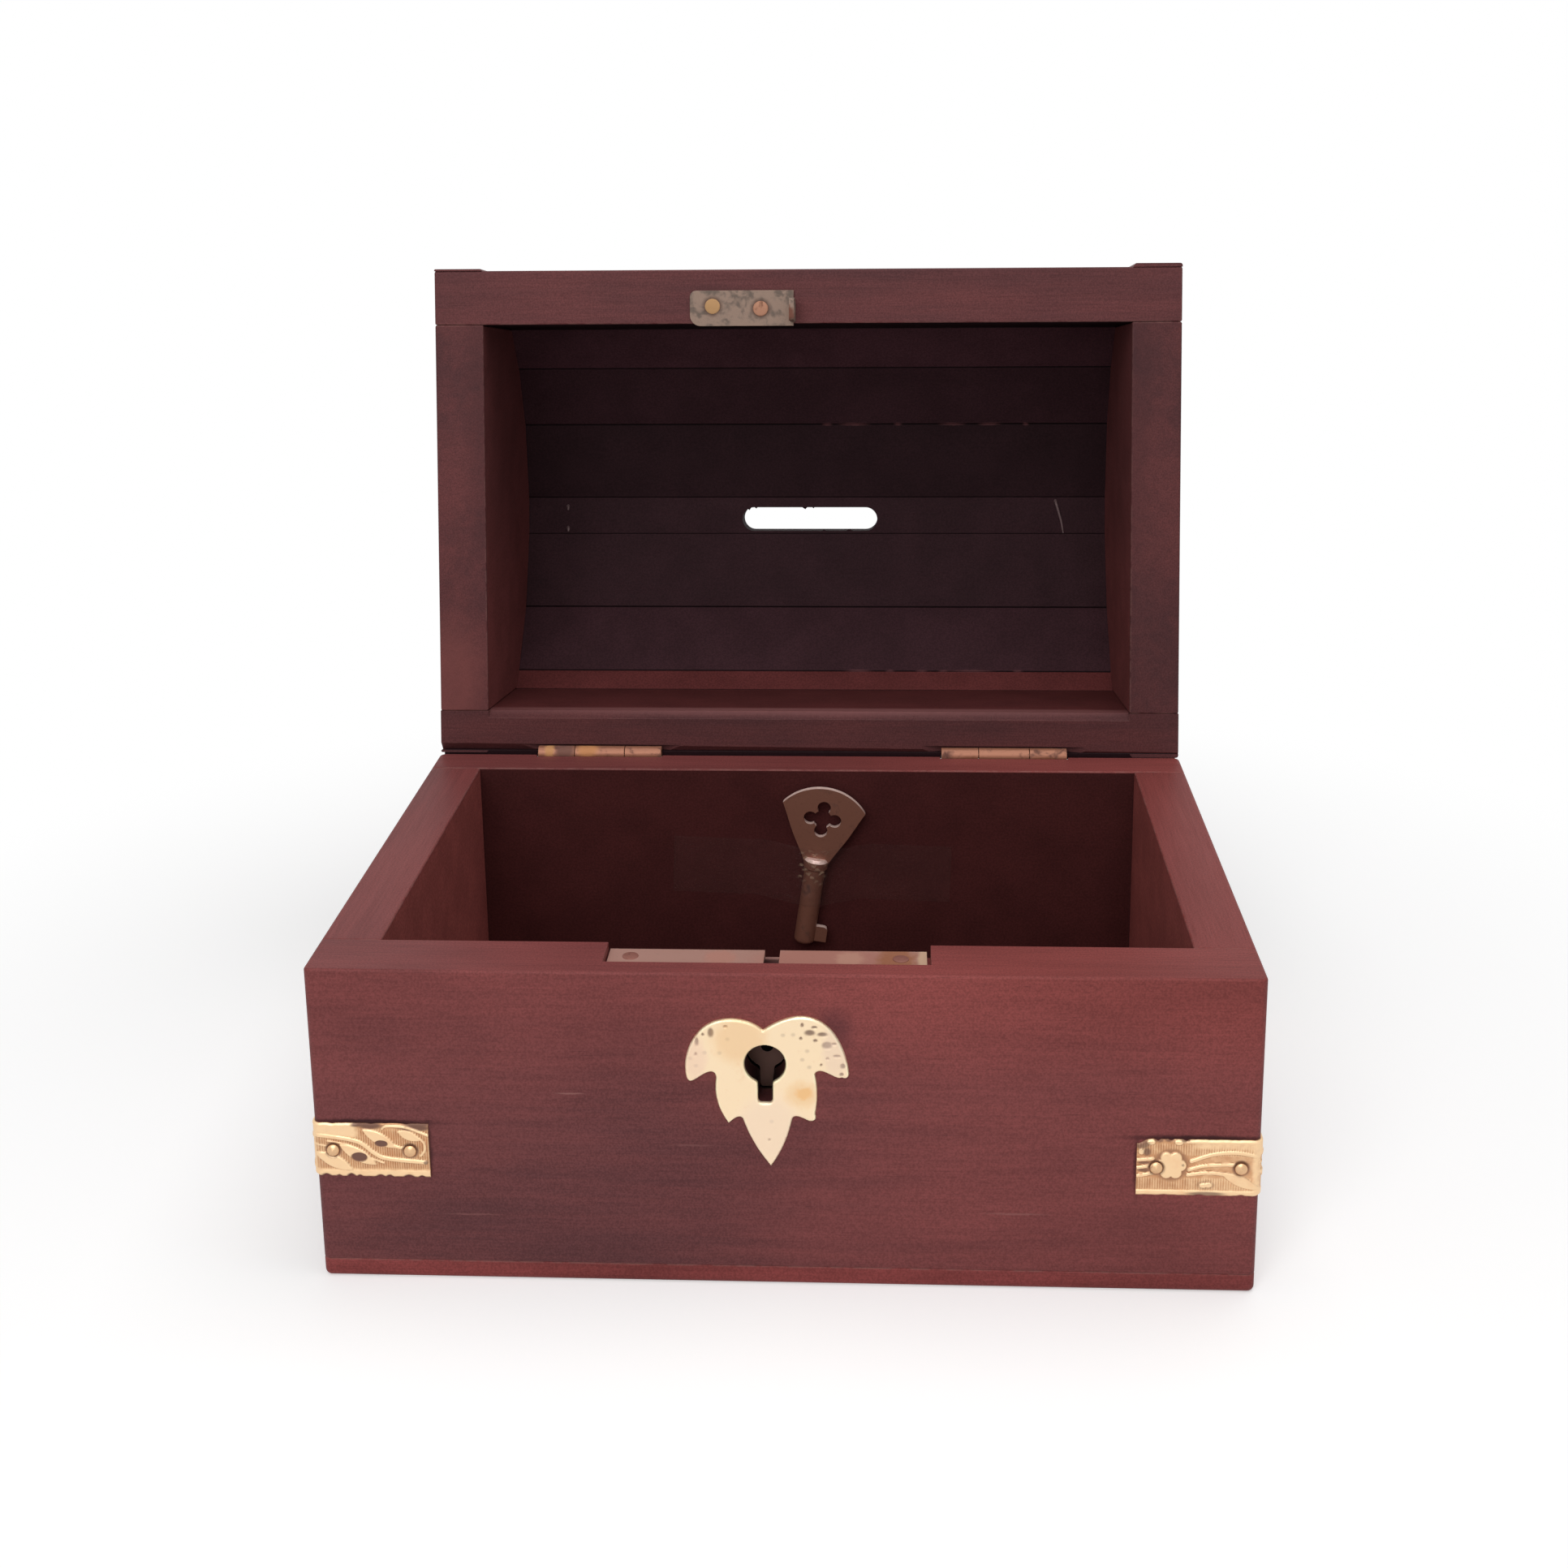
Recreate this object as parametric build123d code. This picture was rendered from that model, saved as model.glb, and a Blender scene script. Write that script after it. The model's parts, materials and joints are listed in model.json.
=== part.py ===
from build123d import *
import os
from math import acos, atan2, cos, degrees, hypot, pi, radians, sin, sqrt

# Treasure chest money box: a small wooden box with a coopered, domed lid that has a coin slot, brass
# fittings, a mortise lock with a hooked strike plate, and its key taped inside the back wall.
# Millimetres. X runs along the front, +Y to the back, +Z up. The origin is the middle of the underside.
# The lid is drawn shut and then swung back to its stop, which is how the box is stored.

# Box
width = 152.0
depth = 99.0
base_height = 55.0
bottom_thickness = 3.4
front_thickness = 11.0
back_thickness = 8.3
side_thickness = 10.0
corner_round = 1.2
foot_round = 1.0
rim_round = 0.5

# Lid
rim_gap = 0.25
lid_angle = 99.6
lid_wall_height = 30.5
dome_centre_drop = 3.0
stave_thickness = 7.0
stave_shares = (13, 16, 19, 9, 19, 18, 6)
inner_bevel = 1.5
back_bevel_left = 1.6
back_bevel_right = 0.4
band_width = 9.8
band_proud_left = 0.4
band_proud_right = 0.75
band_ease = 0.7

# Coin slot
slot_length = 30.9
slot_width = 5.4
slot_x = -1.2
slot_y = 4.5

# Hinges
hinge_insets = (33.3, 35.5)
hinge_length = 25.5
hinge_middle_knuckle = 10.5
hinge_barrel = 3.0
hinge_pin = 1.2
leaf_thickness = 0.8
leaf_reach = 8.0
leaf_nail_pitch = 15.0
leaf_nail_inset = 2.6
knuckle_gap = 0.15
barrel_clearance = 0.3
pin_fixed_clearance = 0.02
pin_running_clearance = 0.05
lid_notch_flare = 3.5

# Lock, with every place along the front measured from the keyhole, and in from the front wall's inner face
lock_x = -2.55

# Lock plate, with its selvedge let into the rim and its cap on the inner face of the front wall
lock_width = 51.5
lock_plate_bend = 0.8
lock_plate_thickness = 0.9
selvedge_drop = 1.3
selvedge_slack_left = 0.25
selvedge_slack_right = 0.6
rebate_depth = 7.0
rebate_slack = 0.2
cap_height = 28.0
cap_corner = 2.0
tab_notch_width = 2.5
tab_notch_left = -0.5
tab_notch_drop = 1.5
tab_notch_length = 5.7
lock_nail_places = ((-22.15, 2.4), (21.55, 2.5))

# Lock works
case_width = 36.0
case_height = 24.0
case_thickness = 0.7
case_slack = 0.3
keyhole_drop = 15.3
keyhole_diameter = 6.5
keyhole_slot_width = 2.3
keyhole_slot_drop = 22.0
keyhole_slot_corner = 0.6
keyhole_shoulder = 0.8
post_diameter = 2.0
post_tip_gap = 0.6
bolt_inset = 3.8
bolt_thickness = 2.0
bolt_bar_left = -11.95
bolt_bar_right = 15.55
bolt_bar_height = 4.8
bolt_bar_over_key = 7.3
bolt_throw = 4.2
bolt_riser_width = 4.0
finger_gap = 1.6
finger_height = 2.4
finger_tip = 2.15
finger_root = 12.55
talon_width = 3.2
talon_depth = 2.2
guide_diameter = 1.8
guide_clearance = 0.1
guide_places = (-6.95, 9.05)
spring_radius = 25.0
spring_thickness = 0.35
spring_width = 2.6
spring_low_x = -7.95
spring_end_x = -2.65
spring_gap = 0.2
detent_radius = 0.8

# Strike plate on the lid's front rim, with the eyed tab that the bolt catches
strike_left = -20.85
strike_right = 0.25
strike_inset = 6.7
strike_depth = 7.2
strike_thickness = 0.85
strike_front_corner = 1.3
strike_back_corner = 2.2
tab_right = 0.65
tab_thickness = 1.0
tab_inset = 4.9
tab_width = 4.6
tab_drop = 7.0
tab_bend = 0.7
tab_corner = 0.9
eye_width = 3.0
eye_height = 3.0
strike_nail_places = ((-16.25, 3.2), (-6.45, 3.7))

# Brass strips round the base's corners: drop of the top edge below the rim, height, leg along the face
front_left_strip = (26.8, 9.6, 18.8)
front_right_strip = (27.5, 9.9, 19.6)
back_left_strip = (27.0, 9.6, 19.2)
back_right_strip = (27.2, 9.6, 19.2)
strip_thickness = 0.5
strip_side_leg = 19.4
strip_nail_inset = 3.1
strip_nail_stagger = 1.5

# Brass strips over the lid's ends; the upper nails' places are along X and a share of the narrow stave's width
lid_strip_width = 10.6
lid_strip_y = 4.1
lid_strip_start = 52.8
lid_strip_leg = 19.0
lid_strip_lip = 1.5
lid_strip_ease = 0.3
lid_strip_nails_left = ((-57.0, 0.23), (-57.0, 0.83))
lid_strip_nails_right = ((54.9, 0.11), (56.6, 0.94))
narrow_stave = 4
lid_leg_nail_drops = (6.0, 15.5)

# Nails: head diameter, rise of the head, shank diameter, length
small_nail = (2.0, 0.5, 0.9, 7.0)
long_nail = (2.0, 0.5, 0.9, 8.6)
leaf_nail = (2.4, 0.5, 1.1, 7.2)
plate_nail = (3.1, 0.25, 1.2, 9.0)
nail_hole_slack = 0.05
nail_crown = (0.62, 0.8)

# Leaf-shaped escutcheon: curves from notch to notch, measured right and up from the keyhole
escutcheon_thickness = 0.6
escutcheon_curves = (
    ((-0.25, 5.9), (-3.75, 7.6), (-8.75, 6.9), (-12.15, 2.5), (-12.65, -2.1)),
    ((-12.65, -2.1), (-12.05, -3.1), (-10.05, -2.1), (-8.35, -1.5), (-7.85, -2.5)),
    ((-7.85, -2.5), (-7.45, -7.6), (-5.95, -10.5)),
    ((-5.95, -10.5), (-5.05, -9.7), (-4.15, -9.3), (-3.55, -10.0)),
    ((-3.55, -10.0), (-0.95, -15.6), (0.75, -18.0)),
    ((0.75, -18.0), (2.65, -14.6), (4.15, -9.9)),
    ((4.15, -9.9), (4.75, -9.1), (5.45, -9.2), (7.15, -9.9)),
    ((7.15, -9.9), (7.85, -9.7), (7.95, -8.6)),
    ((7.95, -8.6), (8.25, -6.2), (7.95, -1.6)),
    ((7.95, -1.6), (8.35, -1.2), (9.95, -1.5), (12.15, -2.2)),
    ((12.15, -2.2), (13.05, -2.2), (13.35, -1.6)),
    ((13.35, -1.6), (12.15, 3.3), (8.45, 7.7), (5.65, 8.3), (1.85, 7.2), (-0.25, 5.9)),
)

# Key, drawn upright from the tip of its barrel; the bow is measured from its own foot, sunk in the barrel
key_x = -0.4
key_tip_z = 18.9
key_tilt = 8.6
key_barrel = 4.2
key_barrel_length = 18.0
key_bore = 2.2
key_bore_depth = 8.0
key_tip_round = 0.8
key_collar = 4.9
key_collar_height = 2.5
key_collar_ease = 0.5
key_bow_thickness = 1.2
key_bow_sunk = 0.5
key_bow_side = ((2.4, 0.0), (4.0, 3.1), (5.45, 5.7), (7.3, 9.7), (8.35, 11.9))
key_bow_top = 16.0
key_hole_centre = 9.5
key_hole_lobe = 1.35
key_hole_reach = 2.45
key_hole_middle = 1.9
key_bit_low = 0.6
key_bit_high = 3.8
key_bit_reach = 4.4
key_bit_round = 0.9
key_wall_gap = 0.1

# Clear tape that holds the key
tape_left = -27.0
tape_right = 29.5
tape_width = 12.0
tape_low_z = 27.6
tape_slope = 2.0
tape_thickness = 0.15
tape_wall_gap = 0.05
tape_tent = 10.5

# Places worked out from the sizes above
half_width = width / 2
front_y = -depth / 2
back_y = depth / 2
inner_front = front_y + front_thickness
inner_back = back_y - back_thickness
inner_side = half_width - side_thickness
hinge_places = (hinge_insets[0] - half_width, half_width - hinge_insets[1])
pivot_y = back_y + leaf_thickness / 2
pivot_z = base_height + rim_gap / 2
barrel_radius = hinge_barrel / 2

lid_rim = base_height + rim_gap
wall_top = lid_rim + lid_wall_height
dome_y = (inner_front + inner_back) / 2
dome_z = lid_rim - dome_centre_drop
half_span = (inner_back - inner_front) / 2
dome_inner = hypot(half_span, lid_wall_height + dome_centre_drop)
dome_outer = dome_inner + stave_thickness
half_angle = degrees(atan2(half_span, lid_wall_height + dome_centre_drop))
dome_axis = Axis((0, dome_y, dome_z), (-1, 0, 0))

selvedge_top = base_height - selvedge_drop
selvedge_under = selvedge_top - lock_plate_thickness
selvedge_front = inner_front - rebate_depth + rebate_slack
cap_inner = inner_front + lock_plate_thickness
lock_left = lock_x - lock_width / 2
lock_right = lock_x + lock_width / 2
case_left = lock_x - case_width / 2
case_right = lock_x + case_width / 2
case_bottom = selvedge_under - case_height
case_front = selvedge_front
keyhole_z = base_height - keyhole_drop
bar_top = keyhole_z + bolt_bar_over_key
bar_bottom = bar_top - bolt_bar_height
bolt_front = inner_front - bolt_inset
bolt_back = bolt_front + bolt_thickness
finger_low = bar_top + finger_gap
finger_high = finger_low + finger_height
strike_front = inner_front - strike_inset
strike_under = lid_rim - strike_thickness
tab_front = inner_front - tab_inset

key_bow_foot = key_barrel_length - key_bow_sunk
key_top = key_bow_foot + key_bow_top

corner_strips = {
    "front_left": (-1, -1, *front_left_strip),
    "front_right": (1, -1, *front_right_strip),
    "back_left": (-1, 1, *back_left_strip),
    "back_right": (1, 1, *back_right_strip),
}


def block(x, y, z):
    """A box between the two ends given on each axis."""
    spans = [sorted(span) for span in (x, y, z)]
    size = [high - low for low, high in spans]
    middle = [(low + high) / 2 for low, high in spans]
    return Pos(*middle) * Box(*size)


def panel(x, z):
    """A rectangle in X and Z between the two ends given on each axis."""
    return Pos((x[0] + x[1]) / 2, (z[0] + z[1]) / 2) * Rectangle(x[1] - x[0], z[1] - z[0])


def through(face, near, far):
    """The solid of a face drawn in X and Z, run along Y from near to far."""
    return extrude(Plane.XZ.offset(-far) * face, amount=far - near)


def along(face, low, high):
    """The solid of a face drawn in Y and Z, run along X from low to high."""
    return extrude(Plane.YZ.offset(low) * face, amount=high - low)


def group(pieces):
    """Separate solids kept together under one name."""
    return Compound([solid for piece in pieces for solid in piece.solids()])


def nail(sizes):
    """A nail that points down, with the underside of its crowned head on the origin."""
    head, rise, shank, length = sizes
    rim, neck = head / 2, shank / 2
    crown = (nail_crown[0] * rim, nail_crown[1] * rise)
    edges = Polyline(
        (0, rise), (0, -length), (neck, -length + shank), (neck, 0), (rim, 0), crown, close=True
    )
    return revolve(Plane.XZ * make_face(edges), Axis.Z)


def driven(sizes, place, outward):
    """A nail at a place on a surface whose outward direction is given."""
    return Plane(origin=place, z_dir=outward) * nail(sizes)


def nail_hole(sizes, place, outward):
    """The hole in sheet metal for a driven nail, cut well past the sheet."""
    head, rise, shank, length = sizes
    return Plane(origin=place, z_dir=outward) * Cylinder(shank / 2 + nail_hole_slack, head)


# Base


def bottom_board():
    board = block((-half_width, half_width), (front_y, back_y), (0, bottom_thickness))
    board = fillet(board.edges().filter_by(Axis.Z), corner_round)
    return fillet(board.faces().sort_by(Axis.Z)[0].edges(), foot_round)


def keyhole():
    """Outline of the keyhole in X and Z: a round with a slot below, eased at the slot's head and foot."""
    half_slot = keyhole_slot_width / 2
    slot = panel((lock_x - half_slot, lock_x + half_slot), (base_height - keyhole_slot_drop, keyhole_z))
    shape = Pos(lock_x, keyhole_z) * Circle(keyhole_diameter / 2) + slot

    def beside_slot(vertex):
        return abs(abs(vertex.X - lock_x) - half_slot) < half_slot / 100

    shape = fillet(shape.vertices().filter_by(beside_slot).sort_by(Axis.Y)[:2], keyhole_slot_corner)
    return fillet(shape.vertices().filter_by(beside_slot).sort_by(Axis.Y)[-2:], keyhole_shoulder)


def front_wall():
    wall = block((-half_width, half_width), (front_y, inner_front), (bottom_thickness, base_height))
    wall = fillet(wall.edges().filter_by(Axis.Z).sort_by(Axis.Y)[:2], corner_round)
    wall = fillet(wall.faces().sort_by(Axis.Z)[-1].edges().sort_by(Axis.Y)[:-1], rim_round)
    over = base_height + 1
    rebate_y = (inner_front - rebate_depth, inner_front + 1)
    plate_x = (lock_left - selvedge_slack_left, lock_right + selvedge_slack_right)
    case_x = (case_left - case_slack, case_right + case_slack)
    wall -= block(plate_x, rebate_y, (selvedge_under, over))
    wall -= block(case_x, rebate_y, (case_bottom - case_slack, over))
    return wall - through(keyhole(), front_y - 1, inner_front)


def hinge_relief(x, flare, low, high):
    """Room for one hinge barrel, cut into the edge of a back board."""
    half = hinge_length / 2 + barrel_clearance
    flared = half + flare
    shape = Polyline((x - flared, low), (x + flared, low), (x + half, high), (x - half, high), close=True)
    return through(make_face(shape), pivot_y - barrel_radius - barrel_clearance, back_y + 1)


def back_wall():
    wall = block((-half_width, half_width), (inner_back, back_y), (bottom_thickness, base_height))
    wall = fillet(wall.edges().filter_by(Axis.Z).sort_by(Axis.Y)[-2:], corner_round)
    wall = fillet(wall.faces().sort_by(Axis.Z)[-1].edges().sort_by(Axis.Y)[1:], rim_round)
    for x in hinge_places:
        wall -= hinge_relief(x, 0, pivot_z - barrel_radius - barrel_clearance, base_height + 1)
    return wall


def right_wall():
    wall = block((inner_side, half_width), (inner_front, inner_back), (bottom_thickness, base_height))
    return fillet(wall.faces().sort_by(Axis.Z)[-1].edges().sort_by(Axis.X)[-1], rim_round)


def corner_strip_middle(name):
    """Height of the middle of one corner strip."""
    side, end, drop, height, leg = corner_strips[name]
    return base_height - drop - height / 2


def corner_strip_nails(name, make):
    """Two nails, or their holes, in each leg of a corner strip, staggered so that no two shanks meet."""
    side, end, drop, height, leg = corner_strips[name]
    middle = corner_strip_middle(name)
    face_x = side * (half_width + strip_thickness)
    face_y = end * (depth / 2 + strip_thickness)
    made = []
    for inset in (strip_nail_inset, leg - strip_nail_inset):
        made.append(make(small_nail, (side * (half_width - inset), face_y, middle), (0, end, 0)))
    for inset in (strip_nail_inset, strip_side_leg - strip_nail_inset):
        place = (face_x, end * (depth / 2 - inset), middle + strip_nail_stagger)
        made.append(make(small_nail, place, (side, 0, 0)))
    return made


def corner_strip(name):
    """A brass strip bent round one corner of the base."""
    side, end, drop, height, leg = corner_strips[name]
    z = (base_height - drop - height, base_height - drop)
    corner_x, corner_y = side * half_width, end * depth / 2
    outer_x, outer_y = corner_x + side * strip_thickness, corner_y + end * strip_thickness
    strip = block((corner_x - side * leg, outer_x), (corner_y, outer_y), z)
    strip += block((corner_x, outer_x), (corner_y - end * strip_side_leg, outer_y), z)

    def from_corner(edge):
        return hypot(edge.center().X - outer_x, edge.center().Y - outer_y)

    strip = fillet(strip.edges().filter_by(Axis.Z).sort_by(from_corner)[0], corner_round + strip_thickness)

    def from_inner_corner(edge):
        return hypot(edge.center().X - corner_x, edge.center().Y - corner_y)

    strip = fillet(strip.edges().filter_by(Axis.Z).sort_by(from_inner_corner)[0], corner_round)
    for hole in corner_strip_nails(name, nail_hole):
        strip -= hole
    return strip


def escutcheon():
    curves = [[(lock_x + right, keyhole_z + up) for right, up in curve] for curve in escutcheon_curves]
    leaf = make_face(Curve() + [Spline(*curve) for curve in curves])
    return through(leaf - keyhole(), front_y - escutcheon_thickness, front_y)


# Lock


def lock_nail_spots(make):
    places = [(lock_x + right, inner_front - inset, selvedge_top) for right, inset in lock_nail_places]
    return [make(plate_nail, place, (0, 0, 1)) for place in places]


def lock_plate():
    """Selvedge and cap bent from one sheet, with the notch that takes the strike plate's tab."""
    span = (lock_left, lock_right)
    plate = block(span, (selvedge_front, cap_inner), (selvedge_under, selvedge_top))
    plate += block(span, (inner_front, cap_inner), (selvedge_top - cap_height, selvedge_top))
    bend = plate.edges().filter_by(Axis.X).sort_by(lambda edge: edge.center().Y + edge.center().Z)[-1]
    plate = fillet(bend, lock_plate_bend)
    plate = fillet(plate.edges().filter_by(Axis.Y).sort_by(Axis.Z)[:2], cap_corner)
    notch_left = lock_x + tab_notch_left
    plate -= block(
        (notch_left, notch_left + tab_notch_width),
        (inner_front - tab_notch_length, cap_inner + 1),
        (selvedge_top - tab_notch_drop, selvedge_top + 1),
    )
    for hole in lock_nail_spots(nail_hole):
        plate -= hole
    return plate


def lock_case():
    """Sheet box behind the cap, open at the cap and under the selvedge."""
    t = case_thickness
    case = block((case_left, case_right), (case_front, inner_front), (case_bottom, selvedge_under))
    inside_y = (case_front + t, inner_front + 1)
    case -= block((case_left + t, case_right - t), inside_y, (case_bottom + t, base_height))
    return case - through(keyhole(), case_front - 1, case_front + t + 1)


def rod_in_lock(x, z, diameter, near):
    """A round stump on the cap that runs towards the front as far as near."""
    length = inner_front - near
    return Pos(x, inner_front - length / 2, z) * Rot(90, 0, 0) * Cylinder(diameter / 2, length)


def key_post():
    return rod_in_lock(lock_x, keyhole_z, post_diameter, case_front + case_thickness + post_tip_gap)


def guide_pins():
    near = case_front + case_thickness
    z = (bar_bottom + bar_top) / 2
    return group([rod_in_lock(lock_x + right, z, guide_diameter, near) for right in guide_places])


def lock_bolt():
    """Sliding bolt: a guided bar that the key throws, and a finger that enters the strike plate's eye."""
    shape = panel((bolt_bar_left, bolt_bar_right), (bar_bottom, bar_top))
    shape += panel((finger_root - bolt_riser_width, finger_root), (bar_bottom, finger_high))
    shape += panel((finger_tip, finger_root), (finger_low, finger_high))
    for right in guide_places:
        opening = guide_diameter + 2 * guide_clearance
        slot = SlotCenterToCenter(bolt_throw, opening)
        shape -= Pos(right + bolt_throw / 2, (bar_bottom + bar_top) / 2) * slot
    talon = (bolt_throw / 2 - talon_width / 2, bolt_throw / 2 + talon_width / 2)
    shape -= panel(talon, (bar_bottom - 1, bar_bottom + talon_depth))
    for right in (spring_low_x, spring_low_x + bolt_throw):
        shape -= Pos(right, bar_top + detent_radius / 2) * Circle(detent_radius)
    return through(Pos(lock_x, 0) * shape, bolt_front, bolt_back)


def lock_spring():
    """Bowed flat spring fixed in the case's left wall, which presses on the top of the bolt."""
    centre = Pos(lock_x + spring_low_x, bar_top + spring_gap + spring_radius)
    bow = centre * Circle(spring_radius) - centre * Circle(spring_radius - spring_thickness)
    bow &= panel((case_left + case_thickness, lock_x + spring_end_x), (bar_top, selvedge_under))
    middle = (bolt_front + bolt_back) / 2
    return through(bow, middle - spring_width / 2, middle + spring_width / 2)


# Hinges


def leaf_nails(x, up, make):
    """Two nails, or their holes, in one hinge leaf; up is 1 on the lid and -1 on the base."""
    z = pivot_z + up * (leaf_reach - leaf_nail_inset)
    face = back_y + leaf_thickness
    return [make(leaf_nail, (x + s * leaf_nail_pitch / 2, face, z), (0, 1, 0)) for s in (-1, 1)]


def hinge_leaf(x, up, spans, clearance):
    """A leaf on the back face, with a knuckle round the pin along each span of X."""
    start = barrel_radius + knuckle_gap
    y = (back_y, back_y + leaf_thickness)
    ends = (x - hinge_length / 2, x + hinge_length / 2)
    leaf = block(ends, y, (pivot_z + up * start, pivot_z + up * leaf_reach))
    for low, high in spans:
        leaf += block((x + low, x + high), y, (pivot_z, pivot_z + up * (start + knuckle_gap)))
        middle = Pos(x + (low + high) / 2, pivot_y, pivot_z)
        leaf += middle * Rot(0, 90, 0) * Cylinder(barrel_radius, high - low)
    bore = Rot(0, 90, 0) * Cylinder(hinge_pin / 2 + clearance, hinge_length + 1)
    leaf -= Pos(x, pivot_y, pivot_z) * bore
    for hole in leaf_nails(x, up, nail_hole):
        leaf -= hole
    return leaf


def base_leaf(x):
    inner, outer = hinge_middle_knuckle / 2, hinge_length / 2
    return hinge_leaf(x, -1, ((-outer, -inner), (inner, outer)), pin_fixed_clearance)


def lid_leaf(x):
    half = hinge_middle_knuckle / 2 - knuckle_gap
    return hinge_leaf(x, 1, ((-half, half),), pin_running_clearance)


def hinge_pin_in(x):
    return Pos(x, pivot_y, pivot_z) * Rot(0, 90, 0) * Cylinder(hinge_pin / 2, hinge_length)


# Lid, drawn shut


def dome_point(radius, angle):
    """Y and Z of a point of the dome; the angle leans back from straight up, in degrees."""
    return (dome_y + radius * sin(radians(angle)), dome_z + radius * cos(radians(angle)))


def stave_joints():
    """Angles of the joints between the staves, from the front board to the back board."""
    joints = [-half_angle]
    for share in stave_shares:
        joints.append(joints[-1] + 2 * half_angle * share / sum(stave_shares))
    return joints


def coin_slot():
    slot = Pos(slot_x, slot_y) * SlotOverall(slot_length, slot_width)
    return Pos(0, 0, dome_z) * extrude(slot, amount=2 * dome_outer)


def stave(first, last):
    """A flat-bottomed stave whose top is planed to the dome."""
    inner_first, inner_last = dome_point(dome_inner, first), dome_point(dome_inner, last)
    outer_first, outer_last = dome_point(dome_outer, first), dome_point(dome_outer, last)
    edges = Polyline(outer_first, inner_first, inner_last, outer_last)
    edges += ThreePointArc(outer_last, dome_point(dome_outer, (first + last) / 2), outer_first)
    return along(make_face(edges), -half_width, half_width) - coin_slot()


def shoulder(y, radius):
    """Height at which a face at this Y meets the dome."""
    return dome_z + sqrt(radius**2 - (y - dome_y) ** 2)


def lid_board(outer, inner, angle):
    """Straight wall of the lid whose top is planed to the dome, up to the joint with the first stave."""
    outer_top = (outer, shoulder(outer, dome_outer))
    joint = dome_point(dome_outer, angle)
    shoulder_angle = degrees(atan2(outer - dome_y, outer_top[1] - dome_z))
    middle = dome_point(dome_outer, (angle + shoulder_angle) / 2)
    edges = Polyline(outer_top, (outer, lid_rim), (inner, lid_rim), (inner, wall_top), joint)
    edges += ThreePointArc(joint, middle, outer_top)
    return along(make_face(edges), -half_width, half_width)


def rim_wedge(y_edge, toward, left, right, x):
    """Triangular cut along the lower edge of a lid board, as deep at each end as given."""
    ends = []
    for place, size in ((x[0], left), (x[1], right)):
        corner = (y_edge, lid_rim)
        shape = Polyline(corner, (y_edge + toward * size, lid_rim), (y_edge, lid_rim + size), close=True)
        ends.append(Plane.YZ.offset(place) * make_face(shape))
    return loft(ends, ruled=True)


def lid_front_board():
    board = lid_board(front_y, inner_front, -half_angle)
    front_edge = board.faces().sort_by(Axis.Z)[0].edges().sort_by(Axis.Y)[0]
    return fillet(front_edge, rim_round)


def lid_back_board():
    board = lid_board(back_y, inner_back, half_angle)
    board -= rim_wedge(back_y, -1, back_bevel_left, back_bevel_right, (-half_width, half_width))
    board -= rim_wedge(inner_back, 1, inner_bevel, inner_bevel, (-inner_side, inner_side))
    for x in hinge_places:
        board -= hinge_relief(x, lid_notch_flare, lid_rim, pivot_z + barrel_radius + barrel_clearance)
    return board


def lid_end(side):
    """End panel that fills the lid's section under the boards and staves."""
    outline = [(inner_front, lid_rim), (inner_back, lid_rim), (inner_back, wall_top)]
    outline += [dome_point(dome_inner, angle) for angle in reversed(stave_joints()[1:-1])]
    outline += [(inner_front, wall_top)]
    face = make_face(Polyline(*outline, close=True))
    low, high = sorted((side * inner_side, side * half_width))
    end = along(face, low, high)
    outer = end.faces().sort_by(Axis.Z)[0].edges().sort_by(Axis.X)
    return fillet(outer[-1] if side > 0 else outer[0], rim_round)


def lid_outline(offset):
    """Section across the lid, larger all round by the offset, with its lower edge on the rim."""
    low, high = front_y - offset, back_y + offset
    radius = dome_outer + offset
    front_top, back_top = (low, shoulder(low, radius)), (high, shoulder(high, radius))
    edges = Polyline(front_top, (low, lid_rim), (high, lid_rim), back_top)
    edges += ThreePointArc(back_top, (dome_y, dome_z + radius), front_top)
    return make_face(edges)


def lid_band(side, proud):
    """Raised band over one end of the lid, with softened long edges."""
    low, high = sorted((side * (half_width - band_width), side * half_width))
    band = along(lid_outline(proud) - lid_outline(0), low, high)

    def stands_out(edge):
        point = edge @ 0.5
        far = 0.75 * proud
        return abs(point.Y) > depth / 2 + far or hypot(point.Y - dome_y, point.Z - dome_z) > dome_outer + far

    ends = band.faces().filter_by(Axis.X).sort_by(Axis.X)
    inner, outer = (ends[0], ends[-1]) if side > 0 else (ends[-1], ends[0])
    band = chamfer(inner.edges().filter_by(stands_out), band_ease * proud)
    outer_edges = [edge for edge in band.edges().filter_by(stands_out) if lies_in(edge, outer)]
    return fillet(outer_edges, band_ease * proud)


def lies_in(edge, face):
    """Whether an edge lies in the plane of a face that is square to X."""
    box, x = edge.bounding_box(), face.center().X
    return abs(box.min.X - x) + abs(box.max.X - x) < 1e-4


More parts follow.
